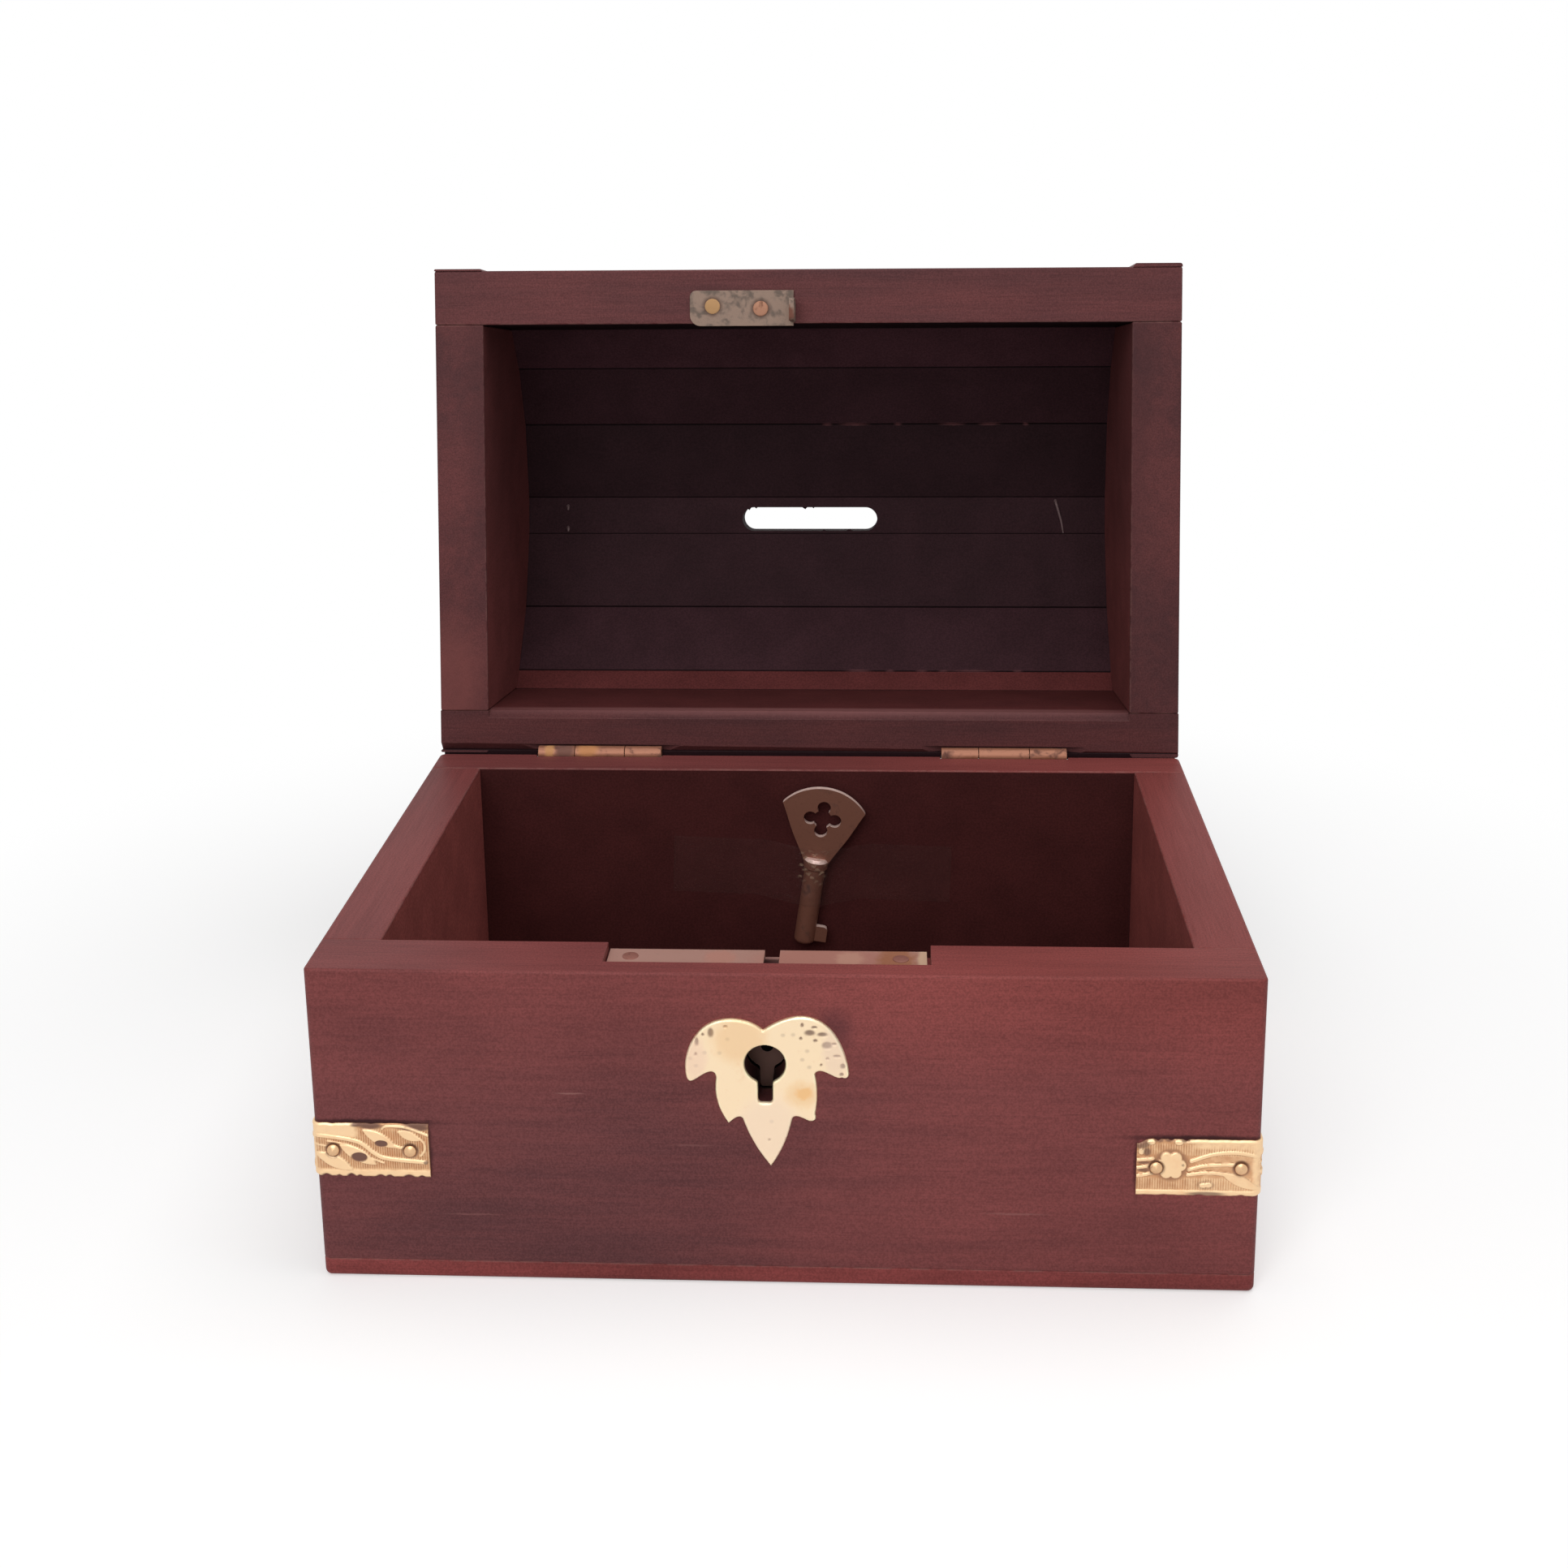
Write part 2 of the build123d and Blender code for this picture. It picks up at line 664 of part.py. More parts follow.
def lid_strip(side, proud):
    """Brass strip over the top of one end of the lid, joggled over the band and bent down the end."""
    t = strip_thickness
    step = half_width - band_width
    top = dome_outer + proud
    profile = Polyline(
        (lid_strip_start, dome_outer),
        (step - lid_strip_ease, dome_outer),
        (step + band_ease * proud, top),
        (half_width, top),
        (half_width, top - lid_strip_lip),
        (half_width + t, top - lid_strip_lip),
        (half_width + t, top + t),
        (step + band_ease * proud - t / 2, top + t),
        (step - lid_strip_ease - t / 2, dome_outer + t),
        (lid_strip_start, dome_outer + t),
        close=True,
    )
    face = Pos(0, dome_y, dome_z) * (Plane.XZ * make_face(profile))
    low = degrees((lid_strip_y - lid_strip_width / 2 - dome_y) / dome_outer)
    arc = degrees(lid_strip_width / dome_outer)
    strip = revolve(face.rotate(dome_axis, low), dome_axis, revolution_arc=arc)
    leg_top = dome_z + top - lid_strip_lip / 2
    leg = block(
        (half_width, half_width + t),
        (lid_strip_y - lid_strip_width / 2, lid_strip_y + lid_strip_width / 2),
        (leg_top - lid_strip_leg, leg_top),
    )
    strip += leg
    if side < 0:
        strip = mirror(strip, Plane.YZ)
    for hole in lid_strip_nails(side, proud, nail_hole):
        strip -= hole
    return strip


def lid_strip_nails(side, proud, make):
    """The nails of one lid strip: two driven through the narrow stave and two into the end panel."""
    made = []
    low, high = stave_joints()[narrow_stave - 1 : narrow_stave + 1]
    for x, share in lid_strip_nails_right if side > 0 else lid_strip_nails_left:
        lean = radians(low + share * (high - low))
        outward = (0, sin(lean), cos(lean))
        radius = dome_outer + strip_thickness
        place = (x, dome_y + radius * sin(lean), dome_z + radius * cos(lean))
        made.append(make(long_nail, place, outward))
    for drop in lid_leg_nail_drops:
        place = (side * (half_width + strip_thickness), lid_strip_y, dome_z + dome_outer + proud - drop)
        made.append(make(small_nail, place, (side, 0, 0)))
    return made


def strike_plate():
    """Plate under the lid's front rim, bent down at its right end into a tab with an eye for the bolt."""
    y = (strike_front, strike_front + strike_depth)
    plate = block((lock_x + strike_left, lock_x + strike_right), y, (strike_under, lid_rim))
    left_corners = plate.edges().filter_by(Axis.Z).sort_by(Axis.X)[:2].sort_by(Axis.Y)
    plate = fillet(left_corners[0], strike_front_corner)
    back_corner = plate.edges().filter_by(Axis.Z).sort_by(lambda edge: edge.center().X - edge.center().Y)[0]
    plate = fillet(back_corner, strike_back_corner)
    tab_x = (lock_x + tab_right - tab_thickness, lock_x + tab_right)
    tab = block(tab_x, (tab_front, tab_front + tab_width), (strike_under - tab_drop, lid_rim))
    bend = tab.edges().filter_by(Axis.Y).sort_by(lambda edge: edge.center().X + edge.center().Z)[-1]
    tab = fillet(bend, tab_bend)
    tab = fillet(tab.edges().filter_by(Axis.X).sort_by(Axis.Z)[:2], tab_corner)
    eye_middle = (finger_low + finger_high) / 2
    bolt_middle = (bolt_front + bolt_back) / 2
    eye_y = (bolt_middle - eye_width / 2, bolt_middle + eye_width / 2)
    eye_z = (eye_middle - eye_height / 2, eye_middle + eye_height / 2)
    plate += tab - block((tab_x[0] - 1, tab_x[1] + 1), eye_y, eye_z)
    for hole in strike_nail_spots(nail_hole):
        plate -= hole
    return plate


def strike_nail_spots(make):
    places = [(lock_x + right, strike_front + inset, strike_under) for right, inset in strike_nail_places]
    return [make(plate_nail, place, (0, 0, -1)) for place in places]


# Key and tape, drawn upright with the barrel's axis on Z and then leant over


def place_key(piece):
    key_y = inner_back - key_wall_gap - key_collar / 2
    return Pos(key_x, key_y, key_tip_z) * Rot(0, key_tilt, 0) * piece


def key_bow():
    """Fan-shaped bow with a four-lobed hole."""
    right = [(u, key_bow_foot + v) for u, v in key_bow_side]
    left = [(-u, v) for u, v in reversed(right)]
    edges = Spline(*right)
    edges += ThreePointArc(right[-1], (0, key_top), left[0])
    edges += Spline(*left)
    edges += Line(left[-1], right[0])
    middle = key_bow_foot + key_hole_centre
    hole = Pos(0, middle) * Circle(key_hole_middle)
    for turn in range(4):
        u, v = key_hole_reach * cos(turn * pi / 2), key_hole_reach * sin(turn * pi / 2)
        hole += Pos(u, middle + v) * Circle(key_hole_lobe)
    return through(make_face(edges) - hole, -key_bow_thickness / 2, key_bow_thickness / 2)


def key():
    barrel = Pos(0, 0, key_barrel_length / 2) * Cylinder(key_barrel / 2, key_barrel_length)
    barrel = fillet(barrel.edges().sort_by(Axis.Z)[0], key_tip_round)
    collar_middle = key_barrel_length + key_bow_sunk - key_collar_height / 2
    collar = Pos(0, 0, collar_middle) * Cylinder(key_collar / 2, key_collar_height)
    collar = chamfer(collar.edges().filter_by(GeomType.CIRCLE), key_collar_ease)
    half = key_bow_thickness / 2
    bit = block((0, key_bit_reach), (-half, half), (key_bit_low, key_bit_high))
    bit_corner = bit.edges().filter_by(Axis.Y).sort_by(lambda edge: edge.center().X + edge.center().Z)[-1]
    bit = fillet(bit_corner, key_bit_round)
    whole = barrel + collar + key_bow() + bit
    whole -= Pos(0, 0, key_bore_depth / 2) * Cylinder(key_bore / 2, key_bore_depth)
    return place_key(whole)


def tent(radius, foot, wall):
    """Section of the space under a tape stretched over a rod on the origin, down to its feet on the wall."""
    reach = hypot(foot, wall)
    lean = atan2(wall, foot) - acos(radius / reach)
    touch = (radius * cos(lean), radius * sin(lean))
    edges = Line((-foot, wall), (foot, wall))
    edges += Line((foot, wall), touch)
    edges += ThreePointArc(touch, (0, -radius), (-touch[0], touch[1]))
    edges += Line((-touch[0], touch[1]), (-foot, wall))
    return make_face(edges)


def key_tape():
    """Clear tape across the key, stuck to the wall on both sides of it."""
    wall = key_wall_gap + key_collar / 2 - tape_wall_gap
    radius = key_collar / 2 + tape_wall_gap
    t = tape_thickness
    section = Pos(0, wall - t / 2) * Rectangle(2 * width, t)
    section += tent(radius + t, tape_tent + t, wall)
    section -= tent(radius, tape_tent, wall)
    sheet = place_key(extrude(section, amount=key_top))
    middle_x = (tape_left + tape_right) / 2
    strip = Box(tape_right - tape_left, depth, tape_width)
    return sheet & Pos(middle_x, inner_back, tape_low_z + tape_width / 2) * Rot(0, tape_slope, 0) * strip


def swing(piece):
    """Carries a piece of the lid from shut to its stop."""
    return piece.rotate(Axis((0, pivot_y, pivot_z), (1, 0, 0)), -lid_angle)


def base_pieces():
    right = right_wall()
    pieces = {
        "base_bottom_board": bottom_board(),
        "base_front_wall": front_wall(),
        "base_back_wall": back_wall(),
        "base_right_wall": right,
        "base_left_wall": mirror(right, Plane.YZ),
        "escutcheon": escutcheon(),
        "lock_plate": lock_plate(),
        "lock_nails": group(lock_nail_spots(driven)),
        "lock_case": lock_case(),
        "lock_key_post": key_post(),
        "lock_guide_pins": guide_pins(),
        "lock_bolt": lock_bolt(),
        "lock_spring": lock_spring(),
        "hinge_left_base_leaf": base_leaf(hinge_places[0]),
        "hinge_right_base_leaf": base_leaf(hinge_places[1]),
        "hinge_pins": group([hinge_pin_in(x) for x in hinge_places]),
        "hinge_base_nails": group([n for x in hinge_places for n in leaf_nails(x, -1, driven)]),
        "base_strip_nails": group([n for name in corner_strips for n in corner_strip_nails(name, driven)]),
        "key": key(),
        "key_tape": key_tape(),
    }
    for name in corner_strips:
        pieces[f"base_{name}_strip"] = corner_strip(name)
    return pieces


def lid_pieces():
    joints = stave_joints()
    pieces = {
        "lid_front_board": lid_front_board(),
        "lid_back_board": lid_back_board(),
        "lid_left_end": lid_end(-1),
        "lid_right_end": lid_end(1),
        "lid_left_band": lid_band(-1, band_proud_left),
        "lid_right_band": lid_band(1, band_proud_right),
        "lid_left_strip": lid_strip(-1, band_proud_left),
        "lid_right_strip": lid_strip(1, band_proud_right),
        "lid_strip_nails": group(
            lid_strip_nails(-1, band_proud_left, driven) + lid_strip_nails(1, band_proud_right, driven)
        ),
        "strike_plate": strike_plate(),
        "strike_nails": group(strike_nail_spots(driven)),
        "hinge_left_lid_leaf": lid_leaf(hinge_places[0]),
        "hinge_right_lid_leaf": lid_leaf(hinge_places[1]),
        "hinge_lid_nails": group([n for x in hinge_places for n in leaf_nails(x, 1, driven)]),
    }
    for number, (first, last) in enumerate(zip(joints, joints[1:]), start=1):
        pieces[f"lid_stave_{number}"] = stave(first, last)
    return {name: swing(piece) for name, piece in pieces.items()}


def main():
    os.makedirs("parts", exist_ok=True)
    for name, piece in {**base_pieces(), **lid_pieces()}.items():
        export_step(piece, f"parts/{name}.step")


if __name__ == "__main__":
    main()
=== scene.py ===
"""Finish of a treasure chest money box: worn mahogany, pressed brass strips, a lock with its key taped inside."""

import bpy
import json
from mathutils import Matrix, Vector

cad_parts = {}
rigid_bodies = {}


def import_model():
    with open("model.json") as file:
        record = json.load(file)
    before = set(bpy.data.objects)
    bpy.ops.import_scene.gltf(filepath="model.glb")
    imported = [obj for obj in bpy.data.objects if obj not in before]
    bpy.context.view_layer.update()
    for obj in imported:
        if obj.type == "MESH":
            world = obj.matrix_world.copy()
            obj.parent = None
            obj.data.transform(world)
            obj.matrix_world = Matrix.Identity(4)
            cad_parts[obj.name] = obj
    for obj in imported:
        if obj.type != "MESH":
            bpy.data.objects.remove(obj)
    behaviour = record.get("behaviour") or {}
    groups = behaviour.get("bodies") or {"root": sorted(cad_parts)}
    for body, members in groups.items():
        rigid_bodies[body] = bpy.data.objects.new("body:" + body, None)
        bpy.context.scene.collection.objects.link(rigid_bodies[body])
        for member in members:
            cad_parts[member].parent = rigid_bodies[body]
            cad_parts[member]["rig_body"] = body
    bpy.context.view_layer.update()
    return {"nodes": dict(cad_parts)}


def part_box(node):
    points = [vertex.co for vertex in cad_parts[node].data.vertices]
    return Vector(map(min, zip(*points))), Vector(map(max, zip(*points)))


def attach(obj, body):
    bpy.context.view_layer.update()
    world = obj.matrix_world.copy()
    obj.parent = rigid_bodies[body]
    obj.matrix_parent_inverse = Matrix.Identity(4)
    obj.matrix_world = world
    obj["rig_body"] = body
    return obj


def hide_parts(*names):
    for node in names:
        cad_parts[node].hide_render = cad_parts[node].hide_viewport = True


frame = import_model()

import json
from math import cos, pi, radians, sin

import bmesh
import bpy
import numpy as np
from bpy.props import FloatProperty, FloatVectorProperty, PointerProperty
from mathutils import Matrix, Vector, geometry

bl_info = {
    "name": "Treasure Chest Money Box",
    "version": (1, 0, 0),
    "blender": (4, 5, 0),
    "location": "3D View > Sidebar > Chest",
    "description": "Dresses a small wooden chest with a domed lid, brass strips, a lock and a taped key",
    "category": "Object",
}

MM = 0.001

# Places taken from the solids, in millimetres, with the lid drawn shut where it matters
HALF_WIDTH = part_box("base_front_wall")[1].x / MM
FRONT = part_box("base_front_wall")[0].y / MM
HALF_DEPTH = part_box("base_back_wall")[1].y / MM
INNER_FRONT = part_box("base_front_wall")[1].y / MM
INNER_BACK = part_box("base_back_wall")[0].y / MM
INNER_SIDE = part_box("base_right_wall")[0].x / MM
BASE_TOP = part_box("base_front_wall")[1].z / MM
FLOOR_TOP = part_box("base_bottom_board")[1].z / MM
HINGE_ENDS = [corner.x / MM for side in ("left", "right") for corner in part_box(f"hinge_{side}_base_leaf")]
CORNER_ROUND = 1.2
LID_ANGLE = radians(99.6)
PIVOT = (49.9, 55.125)
LID_RIM = 55.25
DOME = (1.35, 52.25)
DOME_INNER = 52.06
DOME_OUTER = 59.06
LOCK_X = -2.55
KEYHOLE = (LOCK_X, FRONT, 38.1)
# Near-black painted as shade where no light reaches: in the keyhole and inside the lock case
UNLIT = (0.003, 0.002, 0.002)


def linear_colour(label, note, default):
    return FloatVectorProperty(
        name=label, description=note, default=default, subtype="COLOR", size=3, min=0.0, max=1.0
    )


def length(label, note, default, largest=0.1):
    return FloatProperty(name=label, description=note, default=default, min=0.0, max=largest, unit="LENGTH")


def fraction(label, note, default):
    return FloatProperty(name=label, description=note, default=default, min=0.0, max=1.0, subtype="FACTOR")


class ChestWood(bpy.types.PropertyGroup):
    pale: linear_colour("Pale wood", "Lighter streaks of the mahogany", (0.200, 0.061, 0.061))
    deep: linear_colour("Deep wood", "Darker streaks of the mahogany", (0.112, 0.041, 0.044))
    warm: linear_colour("Warm wood", "Redder wood near the top and the right", (0.310, 0.074, 0.068))
    foot: linear_colour("Foot wood", "The bottom board", (0.305, 0.069, 0.066))
    inside: linear_colour("Inside wood", "The unpolished wood inside the box", (0.074, 0.0170, 0.0165))
    # Painted light: the side walls inside are given a brighter colour for the light they catch
    side_inside: linear_colour("Side walls inside", "The redder wood inside the side walls", (0.385, 0.100, 0.088))
    # Painted shade: the inside of the lid is given this dark colour for the shade inside the open lid
    lid_inside: linear_colour("Lid inside", "The dark wood inside the lid", (0.020, 0.008, 0.010))
    # Painted light: the lid's ends inside are given a brighter colour for the light they catch
    end_inside: linear_colour("Lid ends inside", "The redder wood inside the ends of the lid", (0.300, 0.086, 0.082))
    # Painted light: the lid's back board inside, which faces up, is given a brighter colour for the light it catches
    ledge: linear_colour("Lid ledge", "The reddish wood along the lid's back board inside", (0.150, 0.036, 0.035))
    scratch: linear_colour("Scratches", "Pale dashes along the joints", (0.34, 0.17, 0.15))
    grain_length: length("Grain length", "Length of a streak in the grain", 0.022)
    grain_width: length("Grain width", "Width of a streak in the grain", 0.0014)
    board_edge: length("Board edge", "Softening of the boards' edges", 0.00035, 0.002)
    stave_edge: length("Stave edge", "Softening of the staves' edges", 0.00028, 0.002)


class ChestBrass(bpy.types.PropertyGroup):
    bright: linear_colour("Bright brass", "Raised parts of the pressed strips", (0.97, 0.68, 0.40))
    ground: linear_colour("Ground", "Sunk ground of the pressed strips", (0.62, 0.315, 0.155))
    stain: linear_colour("Stain", "Dark spots and bites", (0.125, 0.050, 0.040))
    escutcheon: linear_colour("Escutcheon", "Pale gold of the keyhole leaf", (0.97, 0.76, 0.51))
    nail: linear_colour("Nails", "Small brass nails", (0.74, 0.47, 0.26))
    hinge: linear_colour("Hinges", "Pink gold of the hinges", (0.38, 0.160, 0.095))
    relief: length("Relief", "Height of the pressed pattern", 0.00034, 0.001)
    ground_lift: length("Ground lift", "Height of the sunk ground over the wood", 0.00018, 0.001)
    step: length("Step", "Distance between points of a pressed strip", 0.000095, 0.001)


class ChestLock(bpy.types.PropertyGroup):
    sheet: linear_colour("Sheet", "Pinkish sheet of the lock plate", (0.50, 0.27, 0.22))
    sheet_dull: linear_colour("Dull sheet", "Grey-green patches of the sheet", (0.17, 0.15, 0.12))
    rust: linear_colour("Rust", "Rusty blotches", (0.17, 0.050, 0.028))
    nail: linear_colour("Lock nails", "Reddish nails of the lock", (0.27, 0.10, 0.075))
    strike: linear_colour("Strike plate", "Grey-brown sheet of the strike plate", (0.235, 0.155, 0.115))
    strike_nail: linear_colour("Strike nails", "Pinkish brass nails of the strike plate", (0.42, 0.20, 0.12))
    steel: linear_colour("Lock works", "Dark steel of the bolt and spring", (0.10, 0.055, 0.050))
    edge: length("Sheet edge", "Softening of the sheet's edges", 0.0002, 0.001)


class ChestKey(bpy.types.PropertyGroup):
    metal: linear_colour("Key", "Brown-gold of the key", (0.27, 0.112, 0.074))
    # Painted highlight: the bright colour given to the key's edges that face up
    rim: linear_colour("Key rims", "Bright rims that face up", (1.0, 0.74, 0.66))
    dull: linear_colour("Dull key", "Dark patches of the key", (0.105, 0.044, 0.034))
    edge: length("Key edge", "Softening of the key's edges", 0.00060, 0.001)
    tape_alpha: fraction("Tape", "How much the clear tape hides", 0.04)
    wrinkle: length("Wrinkles", "Height of the wrinkles in the tape", 0.0003, 0.002)


class ChestStage(bpy.types.PropertyGroup):
    floor_radius: length("Floor", "Radius of the floor", 1.6, 10.0)
    fade_start: length("Fade start", "Where the floor begins to turn white", 0.12, 10.0)
    fade_end: length("Fade end", "Where the floor is plain white", 0.26, 10.0)
    floor_lift: fraction("Floor lift", "How much whiter the floor is seen than it is lit", 0.365)
    sky: FloatProperty(name="Sky", description="Light from all around", default=0.24, min=0.0, max=2.0)
    key_light: FloatProperty(name="Key light", description="Watts of the light over the front", default=2.7)
    top_light: FloatProperty(name="Top light", description="Watts of the light overhead", default=1.6)


PARTS = {"wood": ChestWood, "brass": ChestBrass, "lock": ChestLock, "key": ChestKey, "stage": ChestStage}


def settings(part):
    return getattr(bpy.context.scene, f"chest_{part}")


# Nodes


class Wiring:
    """Adds joined nodes to one tree."""

    def __init__(self, tree):
        self.tree = tree

    def node(self, kind, sockets=None, **choices):
        node = self.tree.nodes.new(kind)
        for name, value in choices.items():
            setattr(node, name, value)
        for key, value in (sockets or {}).items():
            if isinstance(value, bpy.types.NodeSocket):
                self.tree.links.new(value, node.inputs[key])
            else:
                node.inputs[key].default_value = value
        return node

    def out(self, kind, sockets=None, port=0, **choices):
        return self.node(kind, sockets, **choices).outputs[port]

    def join(self, socket, target):
        self.tree.links.new(socket, target)

    def place(self):
        """Places on the object, in metres."""
        return self.out("ShaderNodeTexCoord", {}, 3)

    def math(self, operation, *values):
        return self.out("ShaderNodeMath", dict(enumerate(values)), operation=operation)

    def vector(self, operation, *values):
        return self.out("ShaderNodeVectorMath", dict(enumerate(values)), operation=operation)

    def even(self, value):
        """A vector with the same value on all three axes."""
        return self.out("ShaderNodeCombineXYZ", {0: value, 1: value, 2: value})

    def times(self, vector, value):
        return self.vector("MULTIPLY", vector, self.even(value))

    def far(self, vector):
        return self.node("ShaderNodeVectorMath", {0: vector}, operation="LENGTH").outputs["Value"]

    def ramp(self, value, low, high, first=0.0, last=1.0):
        """The value read between low and high as a soft step from first to last."""
        sockets = {"Value": value, "From Min": low, "From Max": high, "To Min": first, "To Max": last}
        return self.out("ShaderNodeMapRange", sockets, interpolation_type="SMOOTHSTEP")

    def noise(self, vector, scale, detail=2.0, roughness=0.5, distortion=0.0):
        sockets = {"Vector": vector, "Scale": scale, "Detail": detail, "Roughness": roughness}
        return self.out("ShaderNodeTexNoise", {**sockets, "Distortion": distortion})

    def mix(self, amount, first, second, blend="MIX"):
        sockets = {0: amount, 6: first, 7: second}
        return self.out("ShaderNodeMix", sockets, 2, data_type="RGBA", blend_type=blend)

    def attribute(self, name):
        return self.out("ShaderNodeAttribute", {}, 2, attribute_name=name)

    def bump(self, shader, strength, distance, height):
        sockets = {"Strength": strength, "Distance": distance, "Height": height}
        self.join(self.out("ShaderNodeBump", sockets), shader.inputs["Normal"])

    def background_rays(self):
        """1 for the rays that meet the plain white background instead of the light's own strength."""
        rays = self.node("ShaderNodeLightPath").outputs
        mirrored = self.math("MAXIMUM", rays["Is Glossy Ray"], rays["Is Transmission Ray"])
        return self.math("MAXIMUM", rays["Is Camera Ray"], mirrored)

    def spot(self, centre, size, softness=0.35, ragged=0.0, scale=900.0):
        """A mask that is 1 inside an oval on the surface and 0 outside; centre and size in millimetres."""
        place = self.place()
        if ragged:
            wobble = self.out("ShaderNodeTexNoise", {"Vector": place, "Scale": scale, "Detail": 2.0}, 1)
            centred = self.vector("SUBTRACT", wobble, (0.5, 0.5, 0.5))
            place = self.vector("ADD", place, self.vector("MULTIPLY", centred, (ragged * MM,) * 3))
        away = self.vector("SUBTRACT", place, tuple(c * MM for c in centre))
        scaled = self.vector("DIVIDE", away, tuple(s * MM for s in size))
        return self.ramp(self.far(scaled), 1.0 + softness, 1.0 - softness)


def rgba(colour, gain=1.0):
    return (*(min(1.0, channel * gain) for channel in colour), 1.0)


def shader_group(name, inputs, outputs):
    """A new shader group; returns its wiring, its inputs by name and its output sockets."""
    tree = bpy.data.node_groups.new(name, "ShaderNodeTree")
    for label, kind, default in inputs:
        tree.interface.new_socket(label, in_out="INPUT", socket_type=f"NodeSocket{kind}").default_value = default
    for label, kind in outputs:
        tree.interface.new_socket(label, in_out="OUTPUT", socket_type=f"NodeSocket{kind}")
    wires = Wiring(tree)
    return wires, wires.node("NodeGroupInput").outputs, wires.node("NodeGroupOutput").inputs


def wood_grain_group():
    """Streaks, pores and fine speckle of mahogany whose grain runs along X."""
    w, i, o = shader_group(
        "Wood Grain",
        [
            ("Vector", "Vector", (0, 0, 0)),
            ("Pale", "Color", (0.2, 0.06, 0.06, 1)),
            ("Deep", "Color", (0.1, 0.03, 0.03, 1)),
            ("Grain Length", "Float", 0.022),
            ("Grain Width", "Float", 0.0014),
        ],
        [("Color", "Color"), ("Height", "Float"), ("Pores", "Float")],
    )
    cell = w.out("ShaderNodeCombineXYZ", {0: i["Grain Length"], 1: i["Grain Width"], 2: i["Grain Width"]})
    along = w.vector("DIVIDE", i["Vector"], cell)
    streak = w.noise(along, 0.55, 4.0, 0.6, 0.5)
    fine = w.noise(w.vector("MULTIPLY", along, (2.0, 5.0, 5.0)), 1.0, 3.0, 0.6)
    speckle = w.noise(i["Vector"], 3200.0, 1.0, 0.6)
    cloud = w.noise(w.vector("MULTIPLY", i["Vector"], (14.0, 30.0, 30.0)), 1.0, 3.0, 0.55)
    blend = w.math("ADD", w.math("MULTIPLY", streak, 0.30), w.math("MULTIPLY", cloud, 0.70))
    colour = w.mix(w.ramp(blend, 0.33, 0.66), i["Deep"], i["Pale"])
    value = w.math("ADD", w.ramp(fine, 0.3, 0.7, -0.06, 0.06), w.ramp(speckle, 0.25, 0.75, 0.84, 1.17))
    w.join(w.times(colour, value), o["Color"])
    pores = w.ramp(w.noise(w.vector("MULTIPLY", along, (3.0, 11.0, 11.0)), 1.0, 2.0, 0.5), 0.63, 0.72)
    w.join(pores, o["Pores"])
    w.join(w.math("SUBTRACT", w.math("MULTIPLY", fine, 0.5), w.math("MULTIPLY", pores, 0.6)), o["Height"])
    return w.tree


def patina_group():
    """Cloudy change between a clean and a dull metal, with small dark specks."""
    w, i, o = shader_group(
        "Patina",
        [
            ("Vector", "Vector", (0, 0, 0)),
            ("Clean", "Color", (0.8, 0.6, 0.4, 1)),
            ("Dull", "Color", (0.2, 0.1, 0.07, 1)),
            ("Patch Size", "Float", 0.003),
            ("Amount", "Float", 0.4),
        ],
        [("Color", "Color"), ("Mask", "Float"), ("Height", "Float")],
    )
    place = w.vector("DIVIDE", i["Vector"], w.even(i["Patch Size"]))
    patches = w.noise(place, 1.0, 4.0, 0.6, 0.4)
    specks = w.ramp(w.noise(place, 5.5, 2.0, 0.5), 0.62, 0.74, 0.0, 0.5)
    low = w.math("SUBTRACT", 0.80, w.math("MULTIPLY", i["Amount"], 0.55))
    mask = w.math("MAXIMUM", w.ramp(patches, low, w.math("ADD", low, 0.22)), w.math("MULTIPLY", specks, i["Amount"]))
    w.join(w.mix(mask, i["Clean"], i["Dull"]), o["Color"])
    w.join(mask, o["Mask"])
    w.join(w.noise(place, 3.0, 3.0, 0.6), o["Height"])
    return w.tree


def edge_wear_group():
    """Broken wear where a softened edge has been rubbed."""
    w, i, o = shader_group(
        "Edge Wear", [("Vector", "Vector", (0, 0, 0)), ("Size", "Float", 0.002)], [("Mask", "Float")]
    )
    place = w.vector("DIVIDE", i["Vector"], w.even(i["Size"]))
    broken = w.ramp(w.noise(place, 1.0, 3.0, 0.6), 0.35, 0.6)
    w.join(w.math("MULTIPLY", broken, w.attribute("wear")), o["Mask"])
    return w.tree


def group_node(w, name, build, sockets):
    """Outputs of a shader group, which is built when it is first asked for."""
    tree = bpy.data.node_groups.get(name) or build()
    return w.node("ShaderNodeGroup", sockets, node_tree=tree).outputs


def made_once(build):
    """Gives back the material of that name when it has been made already."""

    def material(name, *values, **choices):
        return bpy.data.materials.get(name) or build(name, *values, **choices)

    return material


def new_material(name):
    """A fresh material with its Principled shader; returns the material, its wiring and the shader."""
    made = bpy.data.materials.new(name)
    made.use_nodes = True
    tree = made.node_tree
    return made, Wiring(tree), tree.nodes["Principled BSDF"]


# Turns that bring the grain's direction on to X
GRAIN_TURNS = {
    "x": (0.0, 0.0, 0.0),
    "y": (0.0, 0.0, radians(90)),
    "lid_end": (0.0, LID_ANGLE, radians(90)),
}


def warmed(w, place, pale, deep, warm):
    """Both colours of the grain turned redder towards the top and the right of the base."""
    parts = w.node("ShaderNodeSeparateXYZ", {0: place}).outputs
    height = w.ramp(parts[2], 0.020, 0.058)
    right = w.ramp(parts[0], -0.05, 0.075)
    upper = w.math("MULTIPLY", height, w.math("ADD", w.math("MULTIPLY", right, 0.65), 0.5))
    heat = w.math("MAXIMUM", upper, w.math("MULTIPLY", right, 0.45))
    return w.mix(heat, rgba(pale), rgba(warm)), w.mix(heat, rgba(deep), rgba(warm, 0.72))


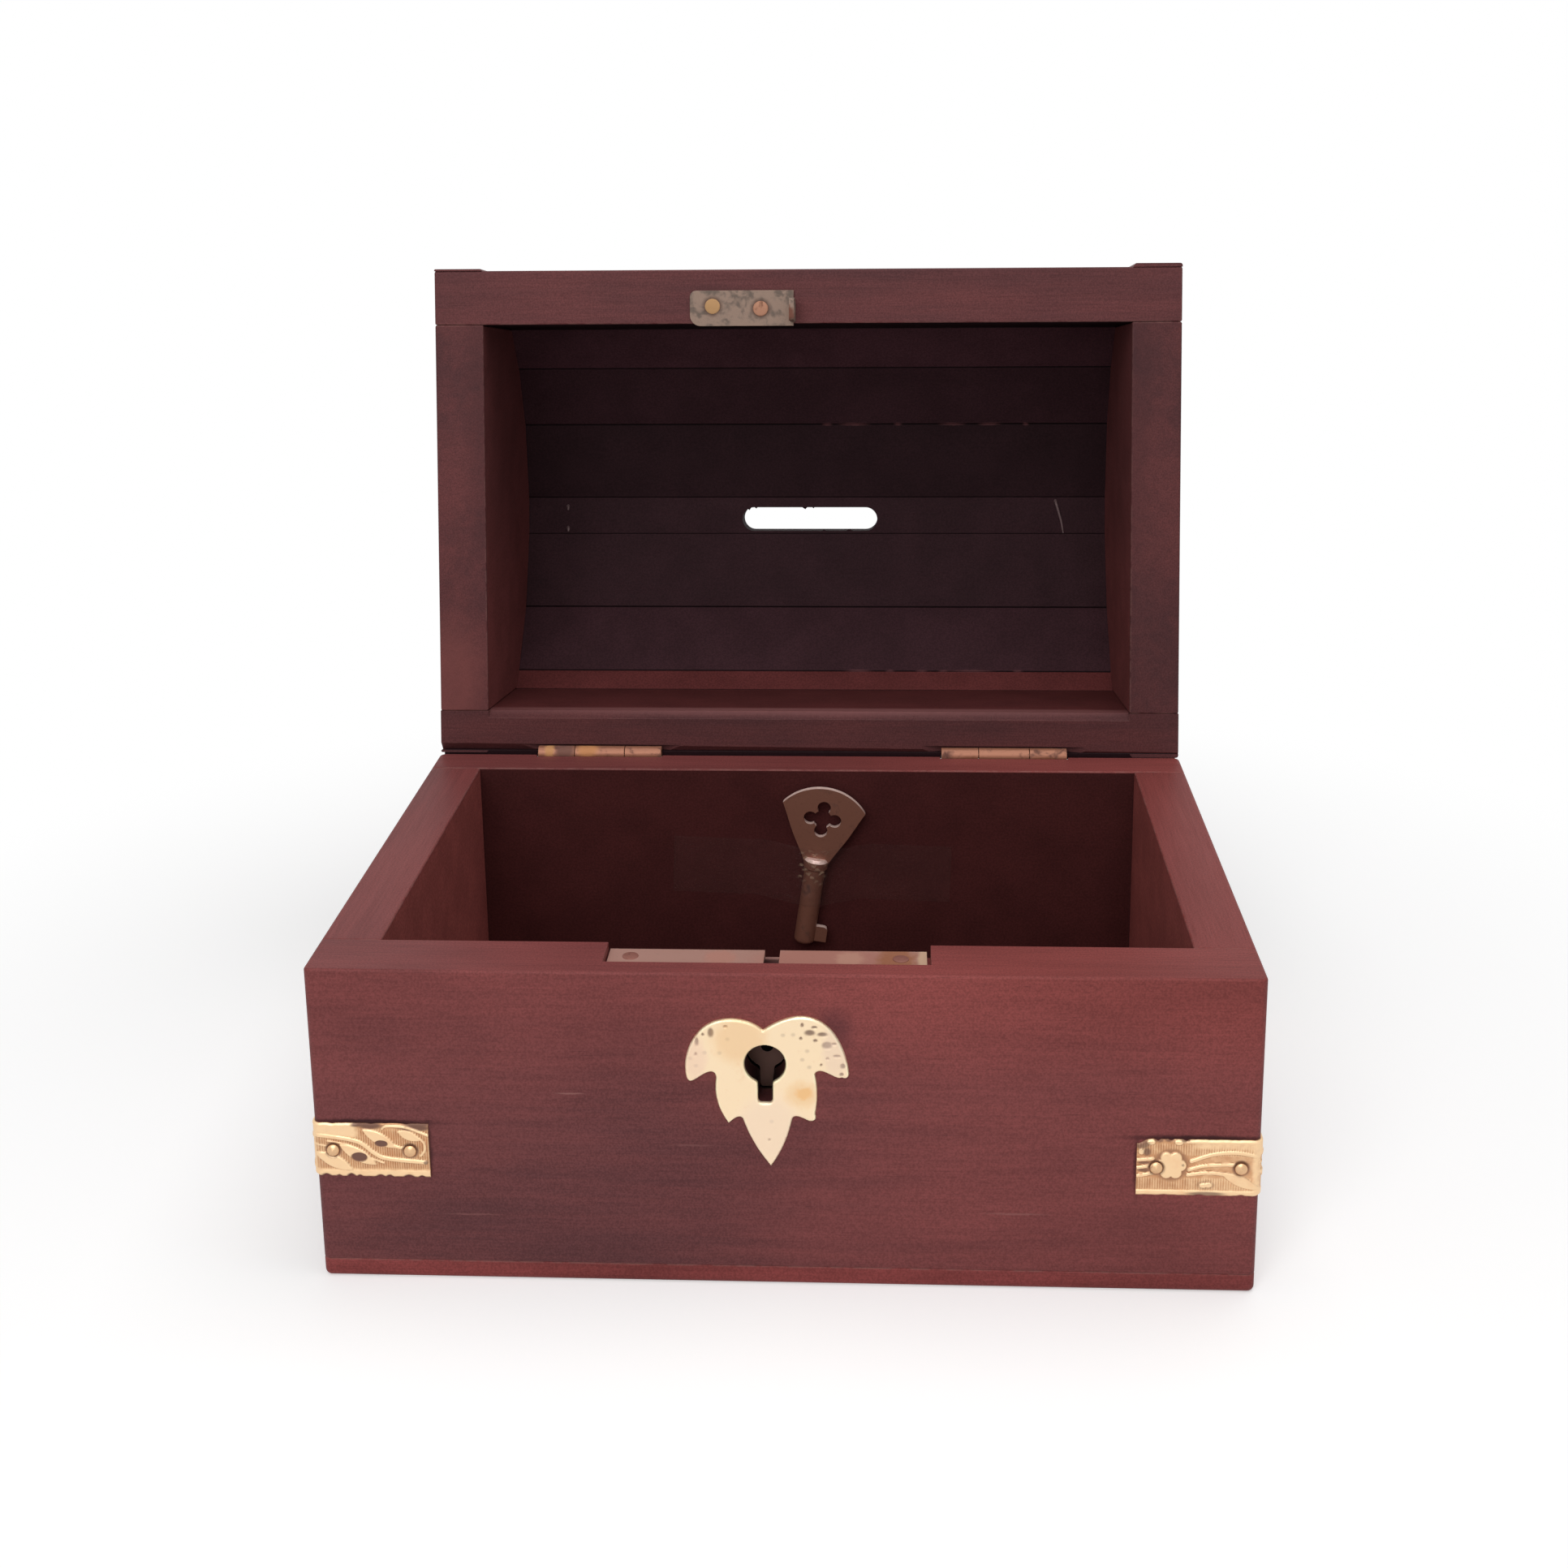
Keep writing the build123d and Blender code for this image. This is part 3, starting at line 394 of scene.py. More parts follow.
def plain_lining(w, turned, inside, tone, lining):
    """The inside colour with faint mottling; its joints are darker. This colour is painted shade for the dark inside
    of the lid, and painted light for the base's side walls and the lid's ends and back board.
    """
    cloudy = w.ramp(w.noise(turned, 110.0, 2.0), 0.3, 0.7, 0.90, 1.10)
    mottle = w.math("MULTIPLY", cloudy, w.ramp(w.noise(turned, 2600.0, 1.0), 0.25, 0.75, 0.84, 1.17))
    joints = w.math("SUBTRACT", 1.0, w.math("MULTIPLY", w.attribute("wear"), 0.85))
    colour = w.times(w.times(rgba(inside)[:3], mottle), tone)
    return w.times(colour, w.math("MULTIPLY", lining, joints))


@made_once
def wood(name, direction, pale, deep, inside, warm=None, roughness=0.46, spots=()):
    """Polished mahogany outside and a plain inside colour, which is painted shade inside the lid and painted light on
    the base's side walls and the lid's ends and back board; the boards' attributes say which is which.
    """
    made, w, shader = new_material(name)
    size = settings("wood")
    place = w.place()
    turned = w.out("ShaderNodeMapping", {"Vector": place, "Rotation": GRAIN_TURNS[direction]})
    pale_colour, deep_colour = rgba(pale), rgba(deep)
    if warm is not None:
        pale_colour, deep_colour = warmed(w, place, pale, deep, warm)
    sockets = {"Vector": turned, "Pale": pale_colour, "Deep": deep_colour}
    sockets |= {"Grain Length": size.grain_length, "Grain Width": size.grain_width}
    grain = group_node(w, "Wood Grain", wood_grain_group, sockets)
    wear = group_node(w, "Edge Wear", edge_wear_group, {"Vector": place})
    tone = w.math("ADD", 1.0, w.attribute("tone"))
    pored = w.mix(w.math("MULTIPLY", grain["Pores"], 0.35), w.times(grain["Color"], tone), rgba(deep, 0.45))
    edge_wear_and_highlight = w.mix(w.math("MULTIPLY", wear["Mask"], 0.45), pored, rgba(size.scratch, 0.9))
    lining = w.attribute("inside")
    inner = w.math("MINIMUM", lining, 1.0)
    colour = w.mix(inner, edge_wear_and_highlight, plain_lining(w, turned, inside, tone, lining))
    for centre, spread, tint, strength, ragged in spots:
        colour = w.mix(w.math("MULTIPLY", w.spot(centre, spread, 0.6, ragged), strength), colour, rgba(tint))
    w.join(colour, shader.inputs["Base Color"])
    polish = w.ramp(grain["Height"], 0.0, 0.5, roughness + 0.05, roughness - 0.05)
    w.join(w.math("ADD", polish, w.math("MULTIPLY", inner, 0.25)), shader.inputs["Roughness"])
    w.bump(shader, 0.25, 0.00012, grain["Height"])
    shader.inputs["Specular IOR Level"].default_value = 0.10
    return made


@made_once
def metal(name, clean, dull, patch, amount, roughness=0.32, metallic=0.9, spots=(), bumps=0.00006, rim_highlight=None):
    """Aged metal with patches, rubbed edges and named spots: (place, size, colour, strength, ragged). Given a rim
    highlight colour, it paints that highlight on the marked edges in place of the rubbed ones; faces marked hollow are
    painted near-black as shade.
    """
    made, w, shader = new_material(name)
    place = w.place()
    sockets = {"Vector": place, "Clean": rgba(clean), "Dull": rgba(dull), "Patch Size": patch, "Amount": amount}
    patina = group_node(w, "Patina", patina_group, sockets)
    wear = group_node(w, "Edge Wear", edge_wear_group, {"Vector": place})
    # With a rim highlight colour, the marked edges get it as a painted highlight; otherwise broken wear on softened
    # edges turns a brighter clean colour
    edge_wear_and_highlight = w.math("MULTIPLY", w.attribute("wear"), 0.9) if rim_highlight else wear["Mask"]
    colour = w.mix(edge_wear_and_highlight, patina["Color"], rgba(rim_highlight or clean, 1.0 if rim_highlight else 1.2))
    stain = w.attribute("stain")
    colour = w.mix(stain, colour, rgba(settings("brass").stain))
    # Painted shade: faces marked hollow turn near-black
    colour = w.mix(w.attribute("hollow"), colour, rgba(UNLIT))
    dirt = w.math("MAXIMUM", patina["Mask"], stain)
    for centre, size, tint, strength, ragged in spots:
        mask = w.math("MULTIPLY", w.spot(centre, size, ragged=ragged), strength)
        colour = w.mix(mask, colour, rgba(tint))
        dirt = w.math("MAXIMUM", dirt, mask)
    w.join(colour, shader.inputs["Base Color"])
    w.join(w.ramp(dirt, 0.0, 1.0, roughness, min(1.0, roughness + 0.3)), shader.inputs["Roughness"])
    w.join(w.ramp(dirt, 0.0, 1.0, metallic, metallic * 0.35), shader.inputs["Metallic"])
    w.bump(shader, 0.5, bumps, patina["Height"])
    return made


@made_once
def embossed_brass(name):
    """Pressed brass: bright relief, brown ground and dark spots, read from the strip's attributes."""
    made, w, shader = new_material(name)
    brass = settings("brass")
    place = w.place()
    cloud = w.noise(place, 900.0, 3.0, 0.6)
    shade = w.math("ADD", w.attribute("relief"), w.ramp(cloud, 0.3, 0.7, -0.10, 0.10))
    colour = w.mix(w.ramp(shade, 0.02, 0.66), rgba(brass.ground), rgba(brass.bright))
    warm = w.ramp(w.noise(place, 260.0, 3.0, 0.6), 0.5, 0.72)
    colour = w.mix(w.math("MULTIPLY", warm, 0.35), colour, rgba((0.85, 0.47, 0.24)))
    stain = w.attribute("stain")
    w.join(w.mix(stain, colour, rgba(brass.stain)), shader.inputs["Base Color"])
    w.join(w.ramp(stain, 0.0, 1.0, 0.7, 0.2), shader.inputs["Metallic"])
    w.join(w.ramp(cloud, 0.25, 0.75, 0.36, 0.52), shader.inputs["Roughness"])
    w.bump(shader, 0.3, 0.00005, cloud)
    return made


def clear_film():
    """Clear tape: almost nothing face on, and a painted shine on its folds."""
    made, w, shader = new_material("clear_film")
    place = w.place()
    fold = w.attribute("fold")
    # Painted shine: the folds turn a brighter, more opaque colour
    tint = w.mix(w.ramp(fold, 0.15, 0.6), (0.16, 0.090, 0.080, 1.0), (0.62, 0.44, 0.30, 1.0))
    w.join(tint, shader.inputs["Base Color"])
    facing = w.out("ShaderNodeLayerWeight", {"Blend": 0.35}, 1)
    dust = w.ramp(w.noise(place, 1900.0, 2.0), 0.66, 0.76, 0.0, 0.10)
    film = w.math("ADD", w.math("ADD", settings("key").tape_alpha, w.math("MULTIPLY", facing, 0.03)), dust)
    w.join(w.math("ADD", film, w.math("MULTIPLY", fold, 0.30)), shader.inputs["Alpha"])
    w.join(w.ramp(w.noise(place, 500.0), 0.3, 0.7, 0.30, 0.45), shader.inputs["Roughness"])
    w.bump(shader, 0.4, 0.0001, w.noise(place, 700.0, 2.0))
    return made


# Meshes


def swing(points):
    """Carries points of the shut lid, in millimetres, to where the open lid holds them."""
    points = np.array(points, float)
    y, z = points[..., 1] - PIVOT[0], points[..., 2] - PIVOT[1]
    points[..., 1] = PIVOT[0] + y * cos(LID_ANGLE) + z * sin(LID_ANGLE)
    points[..., 2] = PIVOT[1] - y * sin(LID_ANGLE) + z * cos(LID_ANGLE)
    return points


def shut(point):
    """Where a point of the open lid, in metres, lies when the lid is shut, in millimetres."""
    x, y, z = point[0] / MM, point[1] / MM - PIVOT[0], point[2] / MM - PIVOT[1]
    across = PIVOT[0] + y * cos(LID_ANGLE) - z * sin(LID_ANGLE)
    return x, across, PIVOT[1] + y * sin(LID_ANGLE) + z * cos(LID_ANGLE)


def lid_spot(x, y, z):
    return tuple(swing((x, y, z)))


def body_of(node):
    return frame["nodes"][node]["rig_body"]


def link(name, data):
    made = bpy.data.objects.new(name, data)
    bpy.context.scene.collection.objects.link(made)
    return made


def add_piece(name, mesh, material, slot, body, *nodes):
    """Adds a finished mesh that rides on a body, in place of the given nodes if there are any."""
    mesh.materials.clear()
    mesh.materials.append(material)
    piece = link(name, mesh)
    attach(piece, body)
    if nodes:
        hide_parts(*nodes)
    return piece


def place_piece(name, mesh, material, slot, node):
    return add_piece(name, mesh, material, slot, body_of(node), node)


def solid(node):
    """A working copy of a solid's mesh."""
    work = bmesh.new()
    work.from_mesh(frame["nodes"][node].data)
    for layer in list(work.loops.layers.uv.values()):
        work.loops.layers.uv.remove(layer)
    bmesh.ops.remove_doubles(work, verts=work.verts, dist=2e-6)
    return work


def finished(name, work):
    """The mesh of a working copy, which is freed."""
    mesh = bpy.data.meshes.new(name)
    work.to_mesh(mesh)
    work.free()
    return mesh


def skin(name, points, faces, sharp_from, **values):
    """A smooth mesh of points in millimetres; each value is given for its first points and is 0 on the rest."""
    mesh = bpy.data.meshes.new(name)
    mesh.from_pydata((points * MM).tolist(), [], faces)
    work = bmesh.new()
    work.from_mesh(mesh)
    bmesh.ops.recalc_face_normals(work, faces=work.faces)
    work.to_mesh(mesh)
    work.free()
    for label, given in values.items():
        held = np.zeros(len(points), np.float32)
        held[: given.size] = given.reshape(-1)
        mesh.attributes.new(label, "FLOAT", "POINT").data.foreach_set("value", held)
    mesh.shade_smooth()
    mesh.set_sharp_from_angle(angle=radians(sharp_from))
    return mesh


def baked(piece):
    """The piece's mesh with its modifiers applied; the piece itself is removed."""
    depsgraph = bpy.context.evaluated_depsgraph_get()
    mesh = bpy.data.meshes.new_from_object(
        piece.evaluated_get(depsgraph), preserve_all_data_layers=True, depsgraph=depsgraph
    )
    spare = piece.data
    name = piece.name
    bpy.data.objects.remove(piece)
    bpy.data.meshes.remove(spare)
    mesh.name = name
    return mesh


def even_normals(mesh):
    """Flat faces keep flat shading and the softened edges between them turn smoothly."""
    mesh.polygons.foreach_set("use_smooth", [True] * len(mesh.polygons))
    worked = link(mesh.name, mesh)
    weighted = worked.modifiers.new("Weighted Normal", "WEIGHTED_NORMAL")
    weighted.keep_sharp = False
    weighted.weight = 60
    return baked(worked)


def is_inside(face, lid):
    """Whether a face lines the hollow of the box or of the lid."""
    centre = face.calc_center_median()
    x, y, z = shut(centre) if lid else [part / MM for part in centre]
    within = abs(x) < INNER_SIDE + 0.15 and INNER_FRONT - 0.15 < y < INNER_BACK + 0.15
    if lid:
        far = ((y - DOME[0]) ** 2 + (z - DOME[1]) ** 2) ** 0.5
        return within and z > LID_RIM + 0.3 and far < DOME_OUTER - 0.5
    return within and z > FLOOR_TOP - 0.2 and z < BASE_TOP - 0.3


def at_hinge_end(edge, near=0.6):
    """Whether an edge runs along the end of a hinge leaf, where rounding would open a gap."""
    return any(all(abs(vertex.co.x / MM - end) < near for vertex in edge.verts) for end in HINGE_ENDS)


def beside_hinge(edge):
    return min(vertex.co.y for vertex in edge.verts) >= (INNER_BACK + 1.0) * MM and at_hinge_end(edge)


def softened(node, width, segments=2, angle=32.0, tone=0.0, lining=1.0):
    """A copy of a solid's mesh with its sharp edges rounded over, and attributes for its finish."""
    work = solid(node)
    bmesh.ops.dissolve_limit(work, angle_limit=radians(0.6), verts=work.verts, edges=work.edges)
    sharp = [e for e in work.edges if len(e.link_faces) == 2 and e.calc_face_angle() > radians(angle)]
    if node in ("base_back_wall", "lid_back_board"):
        sharp = [e for e in sharp if not beside_hinge(e)]
    made = bmesh.ops.bevel(
        work, geom=sharp, offset=width, offset_type="OFFSET", segments=segments, profile=0.5,
        affect="EDGES", clamp_overlap=True,
    )
    rounded = set(made["faces"])
    wear = work.verts.layers.float.new("wear")
    toned = work.verts.layers.float.new("tone")
    for vertex in work.verts:
        vertex[wear] = float(all(face in rounded for face in vertex.link_faces))
        vertex[toned] = tone
    inside = work.faces.layers.float.new("inside")
    lid = body_of(node) == "lid"
    for face in work.faces:
        face[inside] = lining * is_inside(face, lid)
    return even_normals(finished(f"{node}_worn", work))


def worn_piece(node, material, slot, width, **choices):
    return place_piece(f"{node}_worn", softened(node, width, **choices), material, slot, node)


def shell(name, outer, inner, sharp_from=55.0, **values):
    """A closed skin between an outer grid and an inner one with the same columns; values are per outer point."""
    columns, rows = outer.shape[:2]
    back_rows = inner.shape[1]
    points = np.concatenate([outer.reshape(-1, 3), inner.reshape(-1, 3)])
    front = np.arange(columns * rows).reshape(columns, rows)
    back = columns * rows + np.arange(columns * back_rows).reshape(columns, back_rows)

    def quads(grid):
        return np.stack([grid[:-1, :-1], grid[1:, :-1], grid[1:, 1:], grid[:-1, 1:]], -1).reshape(-1, 4)

    def band(first, second):
        return np.stack([first[:-1], first[1:], second[1:], second[:-1]], -1)

    faces = quads(front).tolist() + quads(back)[:, ::-1].tolist()
    faces += band(back[:, 0], front[:, 0]).tolist() + band(front[:, -1], back[:, -1]).tolist()
    faces.append([*front[0], *back[0][::-1]])
    faces.append([*front[-1][::-1], *back[-1]])
    return skin(name, points, faces, sharp_from, **values)


# Pressed ornament, drawn in millimetres: u from the corner of the box, v down from the strip's top edge


def soft_step(low, high, value):
    t = np.clip((value - low) / (high - low), 0, 1)
    return t * t * (3 - 2 * t)


def curve_through(points, per_run=6):
    """More points on a smooth curve through the given ones."""
    points = np.array(points, float)
    padded = np.vstack([2 * points[0] - points[1], points, 2 * points[-1] - points[-2]])
    t = np.linspace(0, 1, per_run, endpoint=False)[:, None]
    runs = []
    for a, b, c, d in zip(padded, padded[1:], padded[2:], padded[3:]):
        runs.append(0.5 * (2 * b + (c - a) * t + (2 * a - 5 * b + 4 * c - d) * t**2 + (3 * b - a - 3 * c + d) * t**3))
    return np.vstack([*runs, points[-1:]])


def off_path(u, v, path):
    """Distance from each point to a path."""
    best = np.full(np.shape(u), 1e9)
    for (a, b), (c, d) in zip(path, path[1:]):
        du, dv = c - a, d - b
        t = np.clip(((u - a) * du + (v - b) * dv) / (du * du + dv * dv + 1e-12), 0, 1)
        best = np.minimum(best, np.hypot(u - a - t * du, v - b - t * dv))
    return best


def bead(u, v, points, width, top=1.0, edge=0.5):
    """A raised stem along a curve."""
    return top * soft_step(width / 2, width / 2 * (1 - edge), off_path(u, v, curve_through(points)))


def leaf(u, v, root, tip, width, top=1.0):
    """A raised leaf between two points."""
    du, dv = tip[0] - root[0], tip[1] - root[1]
    long = np.hypot(du, dv)
    along = ((u - root[0]) * du + (v - root[1]) * dv) / long**2
    across = np.abs((u - root[0]) * dv - (v - root[1]) * du) / long
    half = width / 2 * np.sin(pi * np.clip(along, 0, 1)) ** 0.75
    return top * soft_step(0.0, 0.28, half - across) * ((along > 0) & (along < 1))


def disc(u, v, centre, radii, edge=0.3):
    """A soft-edged oval: 1 in the middle and 0 outside."""
    far = np.hypot((u - centre[0]) / radii[0], (v - centre[1]) / radii[1])
    return soft_step(1 + edge / 2, 1 - edge / 2, far)


def hatching(u, pitch):
    return 0.5 + 0.5 * np.cos(2 * pi * u / pitch)


def with_forms(relief, u, v, stems, leaves):
    """A ground with stems (path, width, height) and leaves (root, tip, width, height) standing on it."""
    forms = [bead(u, v, *stem) for stem in stems] + [leaf(u, v, *blade) for blade in leaves]
    return np.maximum.reduce([relief, *forms])


def stained(stain, strength, u, v, places, edge=0.8):
    for place, radii in places:
        stain = np.maximum(stain, strength * disc(u, v, place, radii, edge))
    return stain


VINE_STEMS = (
    ([(0.2, 2.2), (2.4, 2.4), (7.2, 3.3), (9.9, 5.4), (12.0, 6.3), (18.1, 6.9)], 0.95, 1.0),
    ([(2.2, 3.25), (6.2, 4.15), (8.7, 6.0), (11.2, 7.1)], 0.42, 0.7),
    ([(12.9, 3.9), (14.2, 4.3), (15.4, 4.4)], 0.7, 1.0),
    ([(16.6, 2.2), (17.9, 3.2), (18.1, 4.6), (17.4, 5.7)], 0.6, 0.8),
    ([(0.4, 3.9), (1.5, 4.1), (2.4, 4.3)], 0.5, 0.6),
)
VINE_LEAVES = (
    ((7.9, 1.0), (13.6, 4.4), 2.3, 1.0), ((4.0, 3.8), (10.2, 7.5), 2.5, 1.0),
    ((0.0, 5.2), (6.3, 8.5), 2.5, 1.0), ((13.6, 1.3), (17.6, 3.0), 1.9, 0.72),
)
VINE_CREST = [(11.3, 0.9), (12.0, 0.45), (14.5, 0.5), (16.4, 1.05), (18.9, 2.1)]
VINE_STAINS = (
    ((7.3, 0.25), (1.1, 0.4)), ((9.3, 0.45), (1.9, 0.6)), ((16.6, 0.75), (2.6, 0.55)), ((16.9, 0.2), (2.4, 0.35)),
)
# Where the lower edge of the front left strip is bitten: place, width and depth
VINE_BITES = (
    (1.7, 0.9, 0.34), (3.8, 0.5, 0.16), (5.8, 0.8, 0.42), (7.2, 0.5, 0.18),
    (10.6, 0.8, 0.28), (12.1, 0.7, 0.28), (15.3, 1.0, 0.34), (17.4, 0.6, 0.2),
)


def vine_ornament(u, v):
    """An S stem with four leaves, two of them eyed, over a hatched ground."""
    relief = 0.06 + 0.42 * hatching(u, 0.38) * soft_step(0.0, 0.8, v - 0.6)
    plain = soft_step(7.9, 6.2, u) * soft_step(2.6, 1.7, v - 0.08 * u)
    relief = np.maximum(relief, 0.66 * plain)
    relief = np.maximum(relief, 0.55 * soft_step(8.0, 8.7, v) + 0.1)
    relief = with_forms(relief, u, v, VINE_STEMS, VINE_LEAVES)
    eyes = np.maximum(disc(u, v, (11.0, 3.6), (1.05, 0.62)), disc(u, v, (7.3, 6.1), (1.3, 0.85)))
    stain = stained(0.9 * eyes, 0.85, u, v, VINE_STAINS)
    crest = bead(u, v, VINE_CREST, 0.6, 0.95)
    relief, stain = np.maximum(relief, crest), stain * (1 - 0.9 * crest)
    bitten = [((place, 9.6), (0.9 * wide, 0.15 + deep)) for place, wide, deep in VINE_BITES]
    stain = stained(stain, 0.75, u, v, bitten, 0.7)
    stain = stained(stain, 0.7, u, v, [((18.2, 6.9), (0.35, 0.4))])
    return relief * (1 - 0.9 * eyes), stain


# Three stems that sweep away from the flower, then three short ones at the strip's end
FLOWER_STEMS = (
    ([(8.6, 3.7), (12.1, 2.45), (15.8, 2.15), (19.9, 2.9)], 0.85, 0.95),
    ([(8.2, 5.2), (10.2, 4.55), (12.5, 4.3), (15.4, 4.2)], 0.75, 0.95),
    ([(8.1, 6.05), (11.2, 5.65), (14.3, 5.9)], 0.8, 0.95),
    ([(0.0, 3.55), (2.6, 3.35)], 0.75, 0.95),
    ([(0.0, 4.9), (2.6, 4.5)], 0.75, 0.95),
    ([(0.0, 6.35), (2.6, 5.8)], 0.75, 0.95),
)
FLOWER_LEAVES = (((13.2, 5.6), (19.6, 8.5), 2.1, 0.95),)
FLOWER_CENTRE = (5.45, 4.45)
PETAL_REACH = 1.45
# Dark places of the flower strip: at its bitten corner and edges and between the three short stems
FLOWER_STAINS = (
    ((0.7, 0.9), (1.3, 0.8)), ((3.5, 0.1), (0.7, 0.45)), ((5.1, 0.05), (0.8, 0.4)), ((7.7, 0.05), (0.8, 0.4)),
    ((11.0, 9.25), (2.9, 0.35)), ((1.2, 4.1), (1.0, 0.25)), ((1.2, 5.4), (1.0, 0.3)), ((1.6, 2.2), (0.6, 0.7)),
)


def flower_ornament(u, v):
    """A six-petalled flower with three stems that sweep away from it, over a hatched ground."""
    upper, lower = soft_step(3.0, 2.4, v) * soft_step(0.5, 1.0, v), soft_step(6.4, 6.9, v) * soft_step(8.9, 8.4, v)
    relief = 0.36 * hatching(u, 0.40) * np.maximum(upper, lower) + 0.08 + 0.16 * soft_step(6.0, 12.0, u)
    relief = np.maximum(relief, 0.75 * soft_step(8.5, 8.9, v))
    relief = np.maximum(relief, 0.7 * soft_step(0.9, 0.5, v) * soft_step(4.0, 9.0, u))
    relief = np.maximum(relief, 0.6 * soft_step(17.6, 18.8, u))
    relief = np.maximum(relief, 0.5 * soft_step(8.0, 10.0, u) * soft_step(2.2, 1.2, v))
    relief = with_forms(relief, u, v, FLOWER_STEMS, FLOWER_LEAVES)
    bean = np.maximum(disc(u, v, (10.6, 7.85), (0.6, 0.4)), disc(u, v, (11.4, 7.75), (0.6, 0.42)))
    relief = np.maximum.reduce([relief, bean, disc(u, v, (0.7, 2.1), (0.5, 0.5))])
    for crown in (2.2, 6.6):
        relief = np.maximum(relief, 0.85 * disc(u, v, (crown, 0.45), (0.7, 0.5)))
    petals = disc(u, v, FLOWER_CENTRE, (PETAL_REACH, PETAL_REACH))
    for turn in range(6):
        angle = radians(60 * turn)
        petal = FLOWER_CENTRE[0] + PETAL_REACH * cos(angle), FLOWER_CENTRE[1] + PETAL_REACH * sin(angle)
        petals = np.maximum(petals, disc(u, v, petal, (0.98, 0.98)))
    ring = disc(u, v, FLOWER_CENTRE, (2.75, 2.75), 0.35) * (1 - petals)
    relief = np.maximum(relief * (1 - 0.85 * ring), petals)
    stain = stained(0.45 * ring + 0.5 * disc(u, v, (7.3, 4.3), (0.22, 0.22)), 0.7, u, v, FLOWER_STAINS)
    around_bean = disc(u, v, (11.0, 7.8), (1.45, 0.8)) * (1 - bean)
    return relief, np.clip(np.maximum(stain, 0.3 * around_bean), 0, 1)


def around_nails(relief, stain, u, v, nails):
    """Flattens the pattern under each nail and darkens a ring round it."""
    for place in nails:
        far = np.hypot(u - place[0], v - place[1])
        relief = relief * soft_step(0.95, 1.45, far)
        stain = np.maximum(stain, 0.62 * soft_step(1.65, 1.1, far))
    return relief, stain


def outlined(relief, stain, step_u, step_v):
    """Darkens the foot of every raised form."""
    slope_u, slope_v = np.gradient(relief)
    slope = np.hypot(slope_u / step_u, slope_v / step_v)
    return np.maximum(stain, 0.42 * soft_step(0.9, 3.0, slope) * soft_step(0.95, 0.35, relief))


def ragged_edge(u, seed, bites):
    """How far an edge stands back, in millimetres, with small waves and the given bites: (place, width, depth)."""
    back = 0.05 + 0.02 * np.sin(1.7 * u + seed) + 0.010 * np.sin(5.3 * u + 2 * seed)
    for place, wide, deep in bites:
        back = back + deep * soft_step(wide, 0.0, np.abs(u - place))
    return back


# Bites of an edge: place, width and depth
SCALLOPS = [(1.6 + 1.75 * k, 0.75, 0.22 + 0.07 * sin(5 * k)) for k in range(11)]
NICKS = [(3.0, 0.8, 0.12), (9.5, 1.1, 0.15), (15.2, 0.9, 0.10)]
CORNER_BITES = [(19.6, 2.1, 0.8), (16.3, 0.6, 0.3), (14.2, 0.6, 0.2), (11.8, 0.7, 0.22)]


def corner_line(leg, side_leg, step):
    """Round one corner of the box: places, outward directions, distances from the corner on each face, and turn."""
    flat, turn = leg - CORNER_ROUND, CORNER_ROUND * pi / 2
    total = flat + turn + side_leg - CORNER_ROUND
    s = np.linspace(0, total, int(total / step) + 1)
    angle = np.clip((s - flat) / CORNER_ROUND, 0, pi / 2)
    x = np.where(s < flat, HALF_WIDTH - leg + s, HALF_WIDTH - CORNER_ROUND + CORNER_ROUND * np.sin(angle))
    y = HALF_DEPTH - CORNER_ROUND + CORNER_ROUND * np.cos(angle) - np.clip(s - flat - turn, 0, None)
    return x, y, np.sin(angle), np.cos(angle), soft_step(0.3, 1.27, angle)


# Side and end of the box, ornament on the front or back leg and on the side leg, bites of the lower and upper edge
CORNER_STRIPS = {
    "front_left": (-1, -1, "vine", "flower", VINE_BITES, NICKS),
    "front_right": (1, -1, "flower", "vine", NICKS, CORNER_BITES),
    "back_left": (-1, 1, "flower", "vine", NICKS, SCALLOPS[::2]),
    "back_right": (1, 1, "vine", "flower", SCALLOPS[1::2], NICKS),
}
SIDE_LEG = 19.4
STRIP_NAIL_INSET = 3.1
SIDE_NAIL_RISE = 1.5
# Height the ornament is drawn for, distances between the rows of points, and how far a strip goes into the wood
ORNAMENT_HEIGHT = 9.7
CORNER_ROW = 0.115
LID_ROW = 0.125
STRIP_SUNK = 0.03


def ornament(kind, u, v, leg, height):
    """The pattern of one leg, u from the corner of the box."""
    scale = height / ORNAMENT_HEIGHT
    if kind == "flower":
        return flower_ornament(leg - u, v / scale)
    return vine_ornament(u, v / scale)


def rows_across(first, last, height, row):
    """Places across a strip between its two ragged edges."""
    return first + (last - first) * np.linspace(0, 1, int(height / row) + 1)[None, :]


def pressed(relief, stain, v, first, last, row):
    """The height of a strip's surface over the wood, thinner at its edges, and its stains."""
    brass = settings("brass")
    lift = brass.ground_lift / MM + relief * brass.relief / MM
    edge = np.minimum(v - first, last - v)
    lift = lift * (0.45 + 0.55 * soft_step(0.0, 0.3, edge))
    return lift, outlined(relief, stain, brass.step / MM, row)


